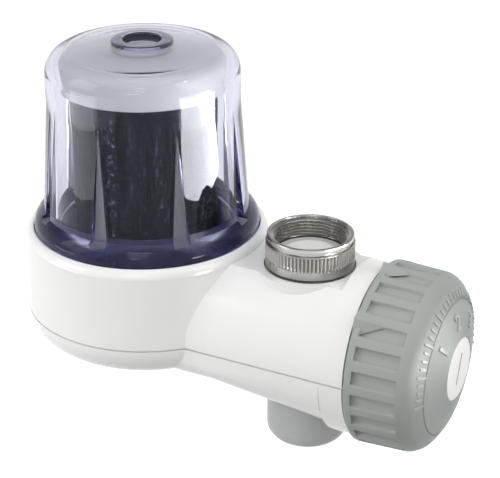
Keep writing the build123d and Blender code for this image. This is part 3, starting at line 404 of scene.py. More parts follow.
def moulded(name, dark, light, roughness, coat=0.0, grain=2400.0, relief=0.06, shine=0.5):
    """Moulded plastic: slight colour drift, uneven gloss and a faint surface ripple."""
    material, tree, principled = shader(
        name, Coat_Weight=coat, Coat_Roughness=0.12, IOR=1.49, Specular_IOR_Level=shine
    )
    drift = noise(tree, 60.0)
    colour = tint(tree, drift.outputs["Fac"], dark, light)
    tree.links.new(colour, principled.inputs["Base Color"])
    gloss = noise(tree, 420.0)
    level = spread(tree, gloss.outputs["Fac"], roughness * 0.85, roughness * 1.2)
    tree.links.new(level, principled.inputs["Roughness"])
    bump(tree, principled, noise(tree, grain).outputs["Fac"], relief, 0.00005)
    return material


def metal(name, color, roughness, scale=900.0, stretch=(1, 1, 1), relief=0.08):
    """Turned steel: fine uneven polish with faint lines."""
    material, tree, principled = shader(name, Metallic=1.0)
    grain = noise(tree, scale, detail=6.0, stretch=stretch)
    darker = tuple(c * 0.86 for c in color)
    colour = tint(tree, grain.outputs["Fac"], darker, color)
    tree.links.new(colour, principled.inputs["Base Color"])
    level = spread(tree, grain.outputs["Fac"], roughness * 0.7, roughness * 1.35)
    tree.links.new(level, principled.inputs["Roughness"])
    bump(tree, principled, grain.outputs["Fac"], relief, 0.00004)
    return material


def rubber(name, dark, light):
    """Rubber: matt, with fine grain."""
    material, tree, principled = shader(name, Roughness=0.7)
    grain = noise(tree, 3000.0)
    colour = tint(tree, grain.outputs["Fac"], dark, light)
    tree.links.new(colour, principled.inputs["Base Color"])
    bump(tree, principled, grain.outputs["Fac"], 0.15, 0.00005)
    return material


def clear_plastic(name, gloss, rough, clearness=1.0, color=(0.93, 0.93, 0.94)):
    """Clear moulded plastic, violet-blue where it is thick, with faint streaks of wear."""
    # Below full clearness the colour also shows as a matt layer, which the cup's flutes, foot and boss
    # use for painted light and shade.
    material, tree, principled = shader(
        name, Transmission_Weight=clearness, IOR=1.5, Base_Color=(*color, 1),
        Specular_Tint=(gloss, gloss * 1.02, gloss * 1.1, 1)
    )
    wear = noise(tree, 160.0, detail=8.0, stretch=(1, 1, 0.25))
    level = spread(tree, wear.outputs["Fac"], rough, rough + 0.05, 0.45, 0.8)
    tree.links.new(level, principled.inputs["Roughness"])
    bump(tree, principled, noise(tree, 45.0).outputs["Fac"], 0.05, 0.0006)
    tinted = node(tree, "ShaderNodeVolumeAbsorption", Density=60.0)
    tinted.inputs["Color"].default_value = (0.40, 0.425, 0.71, 1)
    out = tree.nodes["Material Output"]
    tree.links.new(tinted.outputs["Volume"], out.inputs["Volume"])
    # Shadow rays pass, so that the cartridge inside gets its light
    path = node(tree, "ShaderNodeLightPath")
    passing = node(tree, "ShaderNodeBsdfTransparent")
    passing.inputs["Color"].default_value = (0.95, 0.95, 0.965, 1)
    surface = blend(
        tree, path.outputs["Is Shadow Ray"], principled.outputs["BSDF"], passing.outputs["BSDF"]
    )
    tree.links.new(surface, out.inputs["Surface"])
    return material


def pressed_carbon():
    """Pressed carbon: near black, with pale specks, vertical streaks and a porous surface."""
    material, tree, principled = shader("pressed_carbon", Roughness=0.85, Specular_IOR_Level=0.1)
    specks = noise(tree, 1400.0, detail=3.0, roughness=0.6)
    streaks = noise(tree, 300.0, detail=2.0, stretch=(1, 1, 0.04))
    speck_level = spread(tree, specks.outputs["Fac"], 0, 1, 0.54, 0.74)
    specked = tint(tree, speck_level, (0.002, 0.003, 0.006), (0.13, 0.135, 0.17))
    streak_level = spread(tree, streaks.outputs["Fac"], 0, 1)
    streaked = tint(tree, streak_level, (0.08, 0.09, 0.11), (1.5, 1.52, 1.6))
    mix = node(tree, "ShaderNodeMix", data_type="RGBA", blend_type="MULTIPLY")
    mix.inputs["Factor"].default_value = 1.0
    tree.links.new(specked, mix.inputs["A"])
    tree.links.new(streaked, mix.inputs["B"])
    tree.links.new(mix.outputs["Result"], principled.inputs["Base Color"])
    bump(tree, principled, specks.outputs["Fac"], 0.5, 0.0004)
    return material


def mesh_disc():
    """Fine woven mesh seen from above."""
    material, tree, principled = shader("fine_mesh", Roughness=0.6, Metallic=0.1)
    place = node(tree, "ShaderNodeTexCoord")
    both = node(tree, "ShaderNodeMath", operation="MULTIPLY")
    for number, direction in enumerate("XY"):
        threads = node(tree, "ShaderNodeTexWave", Scale=500.0)
        threads.bands_direction = direction
        tree.links.new(place.outputs["Object"], threads.inputs["Vector"])
        tree.links.new(threads.outputs["Fac"], both.inputs[number])
    colour = tint(tree, both.outputs["Value"], (0.86, 0.86, 0.84), (1.0, 1.0, 0.98))
    tree.links.new(colour, principled.inputs["Base Color"])
    bump(tree, principled, both.outputs["Value"], 0.4, 0.0002)
    return material


WHITE = moulded("white_plastic", (0.80, 0.80, 0.785), (0.84, 0.84, 0.83), 0.22, coat=0.35)
INNER = moulded("inner_plastic", (0.66, 0.66, 0.65), (0.72, 0.72, 0.71), 0.4)
CARTRIDGE = moulded("cartridge_plastic", (0.375, 0.375, 0.36), (0.43, 0.43, 0.415), 0.5)
GREY = moulded(
    "grey_plastic", (0.325, 0.35, 0.333), (0.36, 0.385, 0.367), 0.45,
    grain=3200.0, relief=0.12, shine=0.15
)
# Painted highlight: a lighter copy of the knob's grey for the raised ticks and numbers, standing in for
# the light on their edges.
GREY_PAINTED_HIGHLIGHT = moulded(
    "grey_painted_highlight", (0.39, 0.415, 0.395), (0.43, 0.455, 0.435), 0.4,
    grain=3200.0, relief=0.12, shine=0.3
)
OUTLET = moulded("outlet_plastic", (0.42, 0.44, 0.425), (0.46, 0.48, 0.465), 0.33)
CAP = moulded("cap_plastic", (0.95, 0.95, 0.93), (0.98, 0.98, 0.96), 0.35, relief=0.03)
CLEAR = clear_plastic("clear_plastic", 0.22, 0.0)
# Hazed flutes with painted light: a pale lavender matt layer stands in for the light their wedge-shaped
# walls bend in from the side.
CLEAR_FLUTE_PAINTED_LIGHT = clear_plastic("clear_plastic_flute_painted_light", 0.9, 0.15, 0.86, (0.84, 0.86, 0.97))
# Hazed foot, flange underside and lower inside wall: their navy matt layer is partly the plastic's own
# tint and partly painted shade.
CLEAR_MATT_PAINTED_SHADE = clear_plastic("clear_plastic_matt_painted_shade", 0.5, 0.17, 0.9, (0.38, 0.39, 0.68))
# Painted light: the boss and recess walls get a pale lavender matt layer that stands in for the light
# seen on them.
CLEAR_EDGE_PAINTED_LIGHT = clear_plastic("clear_plastic_edge_painted_light", 0.8, 0.0, 0.95, (0.72, 0.73, 0.95))
CARBON = pressed_carbon()
STEEL = metal("turned_steel", (0.40, 0.39, 0.37), 0.34, stretch=(1, 1, 0.15))
POLISHED = metal("polished_steel", (0.52, 0.51, 0.48), 0.3, scale=180.0, relief=0.01)
PLAIN_STEEL = metal("plain_steel", (0.62, 0.62, 0.60), 0.35)
BLACK = rubber("black_rubber", (0.012, 0.012, 0.016), (0.03, 0.03, 0.036))
PALE = rubber("pale_rubber", (0.52, 0.52, 0.49), (0.60, 0.60, 0.57))
FINE_MESH = mesh_disc()
INK = moulded("mark_plastic", (0.30, 0.27, 0.245), (0.35, 0.32, 0.295), 0.5)


# Clear cup with flutes

def cup_outline():
    """Outside of the cup, from the foot of the skirt to the middle of the recess."""
    dome_top = DOME_START + DOME_CORNER
    top = CUP_TOP
    points = [(SKIRT_R, SKIRT_BOTTOM), (SKIRT_R, FLANGE_BOTTOM)]
    points += [(FLANGE_R - FLANGE_EDGE, FLANGE_BOTTOM)]
    points += arc((FLANGE_R - FLANGE_EDGE, FLANGE_BOTTOM + FLANGE_EDGE), FLANGE_EDGE, -90, 0, 3)
    # The flange bulges on its way up to the wall, and the flutes start at a ledge on it
    rise = FLANGE_TOP - FLANGE_SIDE_TOP
    middle = (FLANGE_R - rise * 0.32, FLANGE_SIDE_TOP + rise * 0.62)
    flange = arc_through((FLANGE_R, FLANGE_SIDE_TOP), middle, (CUP_FOOT_R, FLANGE_TOP), 12)
    cut = next(i for i, point in enumerate(flange) if point[1] > FLUTE_BOTTOM)
    below = flange[cut - 1]
    above = flange[cut]
    share = (FLUTE_BOTTOM - below[1]) / (above[1] - below[1])
    cut_r = below[0] + share * (above[0] - below[0])
    points += flange[:cut] + [(cut_r, FLUTE_BOTTOM), (cut_r, FLUTE_BOTTOM)] + flange[cut:]
    for step in range(1, WALL_STEPS + 1):
        share = step / WALL_STEPS
        radius = CUP_FOOT_R + share * (CUP_BODY_R - CUP_FOOT_R)
        points.append((radius, FLANGE_TOP + share * (FLARE_TOP - FLANGE_TOP)))
    points += arc((CUP_BODY_R - DOME_CORNER, DOME_START), DOME_CORNER, 0, 90, DOME_STEPS)
    for step in range(1, CROWN_STEPS + 1):
        share = step / CROWN_STEPS
        radius = CUP_BODY_R - DOME_CORNER + share * (BOSS_R - CUP_BODY_R + DOME_CORNER)
        points.append((radius, dome_top + CROWN_RISE * math.sin(share * math.pi / 2)))
    points += arc((BOSS_R - BOSS_EDGE, top - BOSS_EDGE), BOSS_EDGE, 0, 90, 3)
    points += arc((RECESS_R + BOSS_EDGE, top - BOSS_EDGE), BOSS_EDGE, 90, 180, 3)
    points += [(RECESS_R, top - RECESS_DEPTH), (0.0, top - RECESS_DEPTH)]
    return points


def cup_inside():
    """Inside of the cup, from the middle of its ceiling down to the foot of the skirt."""
    ceiling = DOME_START + DOME_CORNER - CUP_TOP_WALL
    inner_r = CUP_BODY_R - CUP_WALL
    corner = ceiling - DOME_START
    flat = inner_r - corner
    points = [(0.0, ceiling + CROWN_RISE)]
    for step in range(CROWN_STEPS, 0, -1):
        share = step / CROWN_STEPS
        height = ceiling + CROWN_RISE * math.sin(share * math.pi / 2)
        points.append((flat + share * (BOSS_R - flat), height))
    points += arc((flat, DOME_START), corner, 90, 0, CEILING_STEPS)
    foot_r = CUP_FOOT_R - CUP_WALL
    share = (FLARE_TOP - MATT_SHADE_TOP) / (FLARE_TOP - SKIRT_BOTTOM)
    matt_shade_r = inner_r + (foot_r - inner_r) * share
    points += [(inner_r, FLARE_TOP), (matt_shade_r, MATT_SHADE_TOP), (foot_r, SKIRT_BOTTOM)]
    return points


def flute_width(height):
    """Half the width of a flute at a height."""
    if height < FLUTE_BOTTOM or height > FLARE_TOP:
        return 0.0
    return FLUTE_HALF_WIDTH * (FLARE_TOP - height) / (FLARE_TOP - FLUTE_BOTTOM)


def make_cup():
    """One closed mesh with flat flutes; the flutes, foot and boss are hazed and carry painted light and
    shade: a pale glow in the flutes, a navy on the foot that is partly the plastic's tint and partly
    painted shade, and a pale sheen on the boss.
    """
    outside = cup_outline()
    inside = cup_inside()
    place = upright(CUP)
    pitch = 2 * math.pi / FLUTES
    per_flute = SPAN_STEPS + 5
    columns = FLUTES * per_flute
    ledge = next(i for i, point in enumerate(outside) if point[1] == FLUTE_BOTTOM)

    def outer(row, column):
        radius, height = outside[row]
        flute, local = divmod(column, per_flute)
        middle = math.radians(FLUTE_ANGLE) + flute * pitch
        width = flute_width(height) if row > ledge else 0.0
        half = math.asin(min(width / radius, 1.0)) if radius > width else 0.0
        if local <= SPAN_STEPS:
            return radius, middle + half + (pitch - 2 * half) * local / SPAN_STEPS, height
        if width == 0.0:
            return radius, middle + pitch, height
        offset = (-width, -width / 3, width / 3, width)[local - SPAN_STEPS - 1]
        floor = math.hypot(CUP_BODY_R, offset)
        return min(floor, radius), middle + pitch + math.atan2(offset, CUP_BODY_R), height

    def inner(row, column):
        radius, height = inside[row]
        flute, local = divmod(column, per_flute)
        middle = math.radians(FLUTE_ANGLE) + flute * pitch
        return radius, middle + pitch * min(local, SPAN_STEPS) / SPAN_STEPS, height

    verts, faces = grid(len(outside), columns, place, outer, closed_rows=False)
    start = len(verts)
    more, more_faces = grid(len(inside), columns, place, inner, closed_rows=False)
    verts += more
    faces += [tuple(start + i for i in face) for face in more_faces]
    last = start + (len(inside) - 1) * columns
    for column in range(columns):
        beside = (column + 1) % columns
        faces.append((column, last + column, last + beside, beside))
    mesh = finish_mesh("clear_cup_body", verts, faces)
    cup = piece("clear_cup_body", mesh, "cup", CLEAR, ("clear_cup",))
    # Hazed looks with painted light and shade in their colour, in slots 1 to 3
    for haze_and_painted_light in (CLEAR_FLUTE_PAINTED_LIGHT, CLEAR_MATT_PAINTED_SHADE, CLEAR_EDGE_PAINTED_LIGHT):
        mesh.materials.append(haze_and_painted_light)
    flute_haze_and_painted_light, foot_haze_and_painted_shade, boss_haze_and_painted_light = 1, 2, 3
    near = 0.1
    foot_r = CUP_FOOT_R - CUP_WALL + near
    for polygon in mesh.polygons:
        across = polygon.center / MM - CUP
        radius = math.hypot(across.x, across.y)
        turn = math.degrees(math.atan2(across.y, across.x)) - FLUTE_ANGLE
        aside = abs((turn + 180 / FLUTES) % (360 / FLUTES) - 180 / FLUTES)
        in_flute = radius * math.sin(math.radians(aside)) < flute_width(across.z) - 0.05
        if in_flute and radius > CUP_BODY_R - 0.5:
            polygon.material_index = flute_haze_and_painted_light
        elif across.z < FLANGE_BOTTOM + near or (across.z < MATT_SHADE_TOP and radius < foot_r):
            polygon.material_index = foot_haze_and_painted_shade
        elif RECESS_R - near < radius < BOSS_R + near and across.z > CUP_TOP - RECESS_DEPTH:
            polygon.material_index = boss_haze_and_painted_light
    return cup


# Metal inlet: knurled collar and threaded ring

def make_collar():
    """Collar with a band of knurls; each row has a radius, a height and its share of the knurls."""
    place = upright(VALVE)
    per_ridge = len(KNURL_SHAPE)
    columns = KNURL_COUNT * per_ridge
    knurl_rows = 4
    profile = [(NUT_LIP_R, NUT_BOTTOM, 0.0), (NUT_R - NUT_CHAMFER, NUT_BOTTOM, 0.0)]
    profile += [(NUT_R, NUT_BOTTOM + NUT_CHAMFER, 0.0), (NUT_R, KNURL_BOTTOM - KNURL_RUN_OUT, 0.0)]
    for step in range(knurl_rows + 1):
        height = KNURL_BOTTOM + (KNURL_TOP - KNURL_BOTTOM) * step / knurl_rows
        profile.append((NUT_R, height, 1.0))
    profile += [(NUT_R, KNURL_TOP + KNURL_RUN_OUT, 0.0)]
    profile += [(NUT_R, NUT_TOP - NUT_EDGE, 0.0), (NUT_R - NUT_EDGE, NUT_TOP, 0.0)]
    profile += [(NUT_BORE_R, NUT_TOP, 0.0), (NUT_BORE_R, NUT_LIP_TOP, 0.0)]
    profile += [(NUT_LIP_R, NUT_LIP_TOP, 0.0)]

    def shape(row, column):
        radius, height, cut = profile[row]
        depth = cut * KNURL_DEPTH * KNURL_SHAPE[column % per_ridge]
        return radius - depth, 2 * math.pi * column / columns, height

    verts, faces = grid(len(profile), columns, place, shape)
    mesh = finish_mesh("knurled_collar", verts, faces, sharp=38.0)
    return piece("knurled_collar", mesh, "collar", STEEL, ("swivel_nut",))


def make_threaded_ring():
    """Ring with a helical inside thread that opens towards the mouth."""
    place = upright(VALVE)
    segments = 96
    lip = ADAPTER_LIP_EDGE
    shoulder = NUT_TOP + 0.02
    under = 0.2
    outside = [(ADAPTER_R, ADAPTER_BOTTOM), (ADAPTER_R, shoulder), (ADAPTER_NECK_R, shoulder)]
    outside += [(ADAPTER_NECK_R, ADAPTER_LIP_BOTTOM)]
    outside += arc((ADAPTER_LIP_R - under, ADAPTER_LIP_BOTTOM + under), under, -90, 0, 3)
    outside += arc((ADAPTER_LIP_R - lip, MOUTH - lip), lip, 0, 90, 4)
    outside += [(THREAD_CREST_R + LEAD_IN + 0.35, MOUTH)]
    thread_top = MOUTH - THREAD_TOP_GAP
    thread_bottom = WASHER_TOP + 0.15
    per_turn = 10
    turns = (thread_top - thread_bottom) / THREAD_PITCH
    rows = int(turns * per_turn)
    thread = [thread_top - step / per_turn * THREAD_PITCH for step in range(rows + 1)]
    bore = ((ADAPTER_BORE_R, thread_bottom - 0.2), (ADAPTER_BORE_R, ADAPTER_BOTTOM))
    middle = (THREAD_CREST_R + THREAD_ROOT_R) / 2
    half = (THREAD_ROOT_R - THREAD_CREST_R) / 2

    def thread_radius(height, share):
        wave = 1 - 4 * abs((height / THREAD_PITCH - share) % 1.0 - 0.5)
        flat = max(-THREAD_FLAT, min(THREAD_FLAT, wave)) / THREAD_FLAT
        from_end = min(height - thread_bottom, thread_top - height)
        run_out = max(min(1.0, from_end / THREAD_RUN_OUT), 0.0)
        opened = LEAD_IN * max(0.0, 1 - (MOUTH - height) / LEAD_IN_DEPTH)
        return middle + opened - half * flat * run_out

    def shape(row, column):
        angle = 2 * math.pi * column / segments
        if row < len(outside):
            radius, height = outside[row]
            return radius, angle, height
        row -= len(outside)
        if row < len(thread):
            return thread_radius(thread[row], column / segments), angle, thread[row]
        radius, height = bore[row - len(thread)]
        return radius, angle, height

    verts, faces = grid(len(outside) + len(thread) + len(bore), segments, place, shape)
    mesh = finish_mesh("threaded_ring", verts, faces, sharp=40.0)
    return piece("threaded_ring", mesh, "collar", POLISHED, ("thread_adapter",))


# Knob: grip slots, pointers and a plain dial

def knob_face(radius):
    """x of the knob's face at a radius."""
    outline = [KNOB_BAND, (GROOVE_RING_X, GROOVE_RING_R), (CAP_FRONT_X, CAP_R + CAP_GAP)]
    for (x0, r0), (x1, r1) in zip(outline, outline[1:]):
        if r1 <= radius <= r0:
            return x0 + (x1 - x0) * (r0 - radius) / (r0 - r1)
    return KNOB_BAND[0]


def skirt_radius(x):
    """Radius of the knob's side between its back and its front edge."""
    start = KNOB_BACK_X + KNOB_BACK_EDGE
    return KNOB_R + (x - start) / (KNOB_EDGE_X - start) * (KNOB_EDGE_R - KNOB_R)


def knob_outline():
    """Outside of the knob from its back to the middle of the cap's seat, and the slots' first row."""
    back_edge = arc_through(
        (KNOB_BACK_X, KNOB_BACK_R), (KNOB_BACK_X + 0.25, KNOB_R - 0.2),
        (KNOB_BACK_X + KNOB_BACK_EDGE, KNOB_R), 4
    )
    front_edge = arc_through((KNOB_EDGE_X, KNOB_EDGE_R), KNOB_EDGE_MIDDLE, KNOB_BAND, 14)
    points = [(KNOB_R - KNOB_WALL, KNOB_BACK_X), (KNOB_BACK_R, KNOB_BACK_X)]
    points += [(r, x) for x, r in back_edge[1:]]
    slot_row = len(points)
    points += [(skirt_radius(GRIP_START_X), GRIP_START_X)] * 2
    for step in range(1, GRIP_ROWS + 1):
        x = GRIP_START_X + (KNOB_EDGE_X - GRIP_START_X) * step / GRIP_ROWS
        points.append((skirt_radius(x), x))
    points += [(r, x) for x, r in front_edge[1:]]
    groove_out = GROOVE_RING_R + GROOVE_WIDTH / 2
    groove_in = GROOVE_RING_R - GROOVE_WIDTH / 2
    for step in range(1, FACE_STEPS + 1):
        radius = KNOB_BAND[1] + (groove_out - KNOB_BAND[1]) * step / FACE_STEPS
        points.append((radius, knob_face(radius)))
    points += [(groove_out - GROOVE_DRAFT, knob_face(groove_out) - GROOVE_DEPTH)]
    points += [(groove_in + GROOVE_DRAFT, knob_face(groove_in) - GROOVE_DEPTH)]
    for step in range(FACE_STEPS + 1):
        radius = groove_in + (CAP_R + CAP_GAP - groove_in) * step / FACE_STEPS
        points.append((radius, knob_face(radius)))
    points += [(CAP_R + CAP_GAP, CAP_BACK_X), (0.0, CAP_BACK_X)]
    return points, slot_row


def make_knob():
    """Hollow knob with slots cut into its side, and its three pointers."""
    side, slot_row = knob_outline()
    bevel_x, bevel_r = KNOB_HOLLOW_BEVEL
    hollow = [(0.0, KNOB_EDGE_X), (KNOB_R - KNOB_WALL - bevel_r, KNOB_EDGE_X)]
    hollow += [(KNOB_R - KNOB_WALL, KNOB_EDGE_X - bevel_x)]
    rows = side + hollow
    pitch = 2 * math.pi / GRIPS
    half_slot = GRIP_WIDTH / 2
    mouth = half_slot + GRIP_EDGE
    # Columns across a slot: distance from its middle and share of its depth
    outer = half_slot + GRIP_EDGE * 0.4
    slope = half_slot - GRIP_EDGE * 0.5
    inner = half_slot - GRIP_EDGE * 1.2
    across = ((-outer, 0.12), (-slope, 0.88), (-inner, 1.0), (inner, 1.0), (slope, 0.88), (outer, 0.12))
    per_grip = RIB_STEPS + 1 + len(across)

    def shape(row, column):
        radius, x = rows[row]
        grip, local = divmod(column, per_grip)
        middle = math.radians(GRIP_ANGLE) + grip * pitch
        half = math.asin(min(mouth / max(radius, mouth + 0.01), 1.0)) if radius > 8 else pitch / 4
        if local <= RIB_STEPS:
            return radius, middle + half + (pitch - 2 * half) * local / RIB_STEPS, x
        offset, depth = across[local - RIB_STEPS - 1]
        if not (slot_row < row < len(side) and radius > GRIP_FLOOR_R and x < GRIP_END_X):
            return radius, middle + pitch + half * offset / mouth, x
        floor = math.hypot(GRIP_FLOOR_R, offset)
        lowered = radius + (min(floor, radius) - radius) * depth
        return lowered, middle + pitch + math.asin(offset / lowered), x

    verts, faces = grid(len(rows), GRIPS * per_grip, lengthwise, shape)
    mesh = finish_mesh("selector_knob", verts, faces, sharp=50.0)
    knob = piece("selector_knob", mesh, "selector", GREY, ("knob",))
    for number, turn in enumerate((-CLICK_ANGLE, 0.0, CLICK_ANGLE)):
        make_pointer(f"knob_pointer_{number + 1}", math.radians(turn))
    return knob


def make_pointer(name, turn):
    """Ridge on the knob's rim that runs out to a tip."""
    root = KNOB_R - KNOB_WALL / 2
    peak = KNOB_R + POINTER_RISE
    half = POINTER_HALF_WIDTH * (peak - root) / POINTER_RISE
    steps = 12
    verts = []
    for step in range(steps + 1):
        share = step / steps
        left = 1 - share
        x = KNOB_BACK_X + 0.05 + (POINTER_END_X - KNOB_BACK_X) * share
        top = peak + (KNOB_EDGE_R - peak) * share
        base = root + (KNOB_EDGE_R - root) * share
        tip = POINTER_TIP * left
        section = ((-half * left, base), (-tip, top - 0.05), (0.0, top), (tip, top - 0.05))
        for offset, radius in (*section, (half * left, base)):
            angle = turn + math.atan2(offset, radius)
            verts.append(lengthwise(math.hypot(radius, offset), angle, x))
    faces = []
    for step in range(steps):
        row = step * 5
        for side in range(5):
            beside = (side + 1) % 5
            faces.append((row + side, row + beside, row + 5 + beside, row + 5 + side))
    faces.append((4, 3, 2, 1, 0))
    mesh = finish_mesh(name, verts, faces, sharp=30.0)
    return piece(name, mesh, "selector", GREY)


def wrap_on_face(points, radius, turn, lift):
    """Bend flat points (along the ring, outward, up) onto the knob's face."""
    placed = []
    for along, out, up in points:
        r = radius + out
        angle = turn + along / radius
        placed.append(lengthwise(r, angle, knob_face(r) + up + lift))
    return placed


def make_tick(name, radius, turn, length, width):
    """Raised tick with rounded ends on the knob's face."""
    outline = rounded_bar(length, width)
    low = wrap_on_face([(x, y, -TICK_SINK) for x, y in outline], radius, turn, 0.0)
    high = wrap_on_face([(x * 0.8, y * 0.97, TICK_RISE) for x, y in outline], radius, turn, 0.0)
    mesh = finish_mesh(name, low + high, raised_faces(len(outline)), sharp=40.0)
    return piece(name, mesh, "selector", GREY_PAINTED_HIGHLIGHT)


def make_number(text, radius, turn, size):
    """Raised numeral on the knob's face."""
    curve = bpy.data.curves.new(f"numeral_{text}", "FONT")
    curve.body = text
    curve.size = size
    curve.align_x = "CENTER"
    curve.align_y = "CENTER"
    curve.extrude = NUMBER_RISE
    curve.offset = 0.06
    curve.bevel_depth = 0.05
    curve.bevel_resolution = 1
    holder = bpy.data.objects.new(f"numeral_{text}", curve)
    bpy.context.scene.collection.objects.link(holder)
    bpy.context.view_layer.update()
    flat = bpy.data.meshes.new_from_object(holder)
    bpy.data.objects.remove(holder)
    points = [tuple(v.co) for v in flat.vertices]
    faces = [tuple(p.vertices) for p in flat.polygons]
    placed = wrap_on_face(points, radius, turn, 0.02)
    mesh = finish_mesh(f"dial_number_{text}", placed, faces, sharp=40.0)
    return piece(f"dial_number_{text}", mesh, "selector", GREY_PAINTED_HIGHLIGHT)


def make_dial():
    """Numbers at the three positions on the inner band, and ticks along the outer one."""
    for number, turn in enumerate((-CLICK_ANGLE, 0.0, CLICK_ANGLE)):
        make_number(str(number + 1), NUMBER_R, math.radians(turn), NUMBER_SIZE)
    for index in range(TICK_COUNT):
        angle = math.radians(TICK_START + index * TICK_STEP)
        length = TICK_SHORT if index % TICK_LONG_EVERY else TICK_LONG
        make_tick(f"dial_tick_{index + 1}", TICK_R, angle, length, TICK_WIDTH)


def make_cap():
    """White cap with rounded edge and one raised line."""
    profile = [(0.0, CAP_BACK_X), (CAP_R, CAP_BACK_X)]
    profile += arc((CAP_R - CAP_EDGE, CAP_FRONT_X - CAP_EDGE), CAP_EDGE, 0, 90, 5)
    profile += [(0.0, CAP_FRONT_X)]
    mesh = turned("knob_centre", profile, lengthwise, segments=72)
    cap = piece("knob_centre", mesh, "selector", CAP, ("knob_cap",))
    outline = rounded_bar(MARK_LENGTH, MARK_WIDTH)
    turn = math.radians(MARK_ANGLE)
    verts = []
    for x, scale in ((CAP_FRONT_X - MARK_SINK, 1.0), (CAP_FRONT_X + MARK_RISE, 0.85)):
        for y, z in outline:
            y *= scale
            height = z * math.cos(turn) - y * math.sin(turn)
            verts.append((x, y * math.cos(turn) + z * math.sin(turn), VALVE.z + height))
    mesh = finish_mesh("knob_mark", verts, raised_faces(len(outline)))
    piece("knob_mark", mesh, "selector", INK)
    return cap


# Pieces that are shown as they are in the solids

def dress_nodes():
    """Give these pieces their materials."""
    looks = {
        "upper_housing": WHITE, "bottom_cover": WHITE, "manifold": INNER, "cup_seal": BLACK,
        "cartridge_bottom_cap": CARTRIDGE, "carbon_block": CARBON, "core_tube": CARTRIDGE,
        "cartridge_top_cap": CARTRIDGE, "cartridge_seal": BLACK, "nut_clip": PLAIN_STEEL,
        "inlet_washer": PALE, "inlet_strainer": FINE_MESH, "valve_rotor": INNER,
        "rotor_rings": BLACK, "valve_cover": INNER, "cover_screws": PLAIN_STEEL,
        "knob_screw": PLAIN_STEEL, "outlet_spout": OUTLET, "spray_plate": OUTLET,
        "outlet_seal": BLACK, "housing_screws": PLAIN_STEEL,
    }
    for name, material in looks.items():
        for slot in frame["nodes"][name].material_slots:
            slot.material = material


# Floor, light and camera

def make_floor():
    """Floor that looks white to the camera and in mirrors, and grey to the light it throws back."""
    mesh = bpy.data.meshes.new("floor")
    signs = ((-1, -1), (1, -1), (1, 1), (-1, 1))
    corners = [(x * FLOOR_HALF, y * FLOOR_HALF, FLOOR_Z) for x, y in signs]
    mesh.from_pydata(corners, [], [(0, 1, 2, 3)])
    floor = bpy.data.objects.new("floor", mesh)
    bpy.context.scene.collection.objects.link(floor)
    material, tree, principled = shader("floor_white", Roughness=0.9, Base_Color=(0.28, 0.28, 0.28, 1))
    path = node(tree, "ShaderNodeLightPath")
    glow = node(tree, "ShaderNodeEmission", Strength=0.88)
    clear = either(tree, path.outputs["Is Camera Ray"], path.outputs["Is Transmission Ray"])
    seen = either(tree, clear, path.outputs["Is Glossy Ray"])
    bright = node(tree, "ShaderNodeAddShader")
    tree.links.new(principled.outputs["BSDF"], bright.inputs[0])
    tree.links.new(glow.outputs["Emission"], bright.inputs[1])
    surface = blend(tree, seen, principled.outputs["BSDF"], bright.outputs["Shader"])
    tree.links.new(surface, tree.nodes["Material Output"].inputs["Surface"])
    floor.data.materials.append(material)


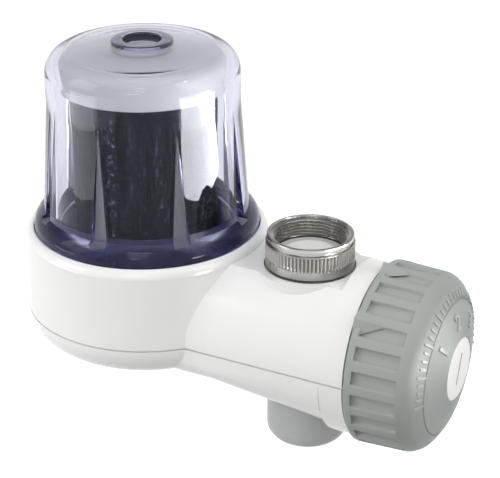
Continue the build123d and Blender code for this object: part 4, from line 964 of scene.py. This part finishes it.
def make_surroundings():
    """White to the camera and through the cup, darker towards the ceiling in mirrors."""
    world = bpy.data.worlds.new("studio")
    bpy.context.scene.world = world
    world.use_nodes = True
    tree = world.node_tree
    soft = tree.nodes["Background"]
    soft.inputs["Color"].default_value = (1, 1, 1, 1)
    soft.inputs["Strength"].default_value = 0.6
    white = node(tree, "ShaderNodeBackground", Strength=1.0)
    white.inputs["Color"].default_value = (1, 1, 1, 1)
    room = node(tree, "ShaderNodeBackground", Strength=1.0)
    place = node(tree, "ShaderNodeTexCoord")
    parts = node(tree, "ShaderNodeSeparateXYZ")
    tree.links.new(place.outputs["Generated"], parts.inputs["Vector"])
    shade = spread(tree, parts.outputs["Z"], 1.0, 0.22, 0.2, 0.55)
    path = node(tree, "ShaderNodeLightPath")
    level = either(tree, shade, path.outputs["Is Transmission Ray"])
    tree.links.new(level, room.inputs["Color"])
    seen = either(tree, path.outputs["Is Glossy Ray"], path.outputs["Is Transmission Ray"])
    lit = blend(tree, seen, soft.outputs["Background"], room.outputs["Background"])
    surface = blend(tree, path.outputs["Is Camera Ray"], lit, white.outputs["Background"])
    tree.links.new(surface, tree.nodes["World Output"].inputs["Surface"])


def make_lamps():
    """Soft lamps, and two groups of three tubes: one before the object, one at its right."""
    lamps = list(LAMPS)
    for group, heading, power in TUBE_GROUPS:
        azimuth = math.radians(heading)
        for row, rise in enumerate(TUBE_ELEVATIONS):
            elevation = math.radians(rise)
            place = (
                TUBE_DISTANCE * math.cos(azimuth) * math.cos(elevation) - 0.02,
                TUBE_DISTANCE * math.sin(azimuth) * math.cos(elevation),
                TUBE_DISTANCE * math.sin(elevation),
            )
            lamps.append((f"{group}_{row + 1}", place, TUBE_SIZE, power))
    for name, place, size, power in lamps:
        light = bpy.data.lights.new(name, "AREA")
        light.shape = "RECTANGLE"
        light.size = size[0]
        light.size_y = size[1]
        light.energy = power
        lamp = bpy.data.objects.new(name, light)
        lamp.location = place
        lamp.rotation_euler = (LAMP_TARGET - Vector(place)).to_track_quat("-Z", "Y").to_euler()
        lamp.visible_camera = False
        lamp.visible_diffuse = name != REFLECTION_LAMP
        lamp.visible_glossy = name != MATT_LAMP
        bpy.context.scene.collection.objects.link(lamp)


def photo_camera():
    """Camera at the photograph's viewing angle."""
    data = bpy.data.cameras.new("photo_camera")
    data.lens = LENS
    data.sensor_width = SENSOR
    data.sensor_fit = "HORIZONTAL"
    data.clip_start = 0.01
    data.clip_end = 20.0
    camera = bpy.data.objects.new("photo_camera", data)
    camera.location = CAMERA_PLACE
    camera.rotation_euler = (CAMERA_TARGET - CAMERA_PLACE).to_track_quat("-Z", "Y").to_euler()
    bpy.context.scene.collection.objects.link(camera)
    bpy.context.scene.camera = camera


make_cup()
make_collar()
make_threaded_ring()
make_knob()
make_dial()
make_cap()
dress_nodes()
make_floor()
make_surroundings()
make_lamps()
photo_camera()
bpy.context.scene.view_settings.view_transform = "Standard"
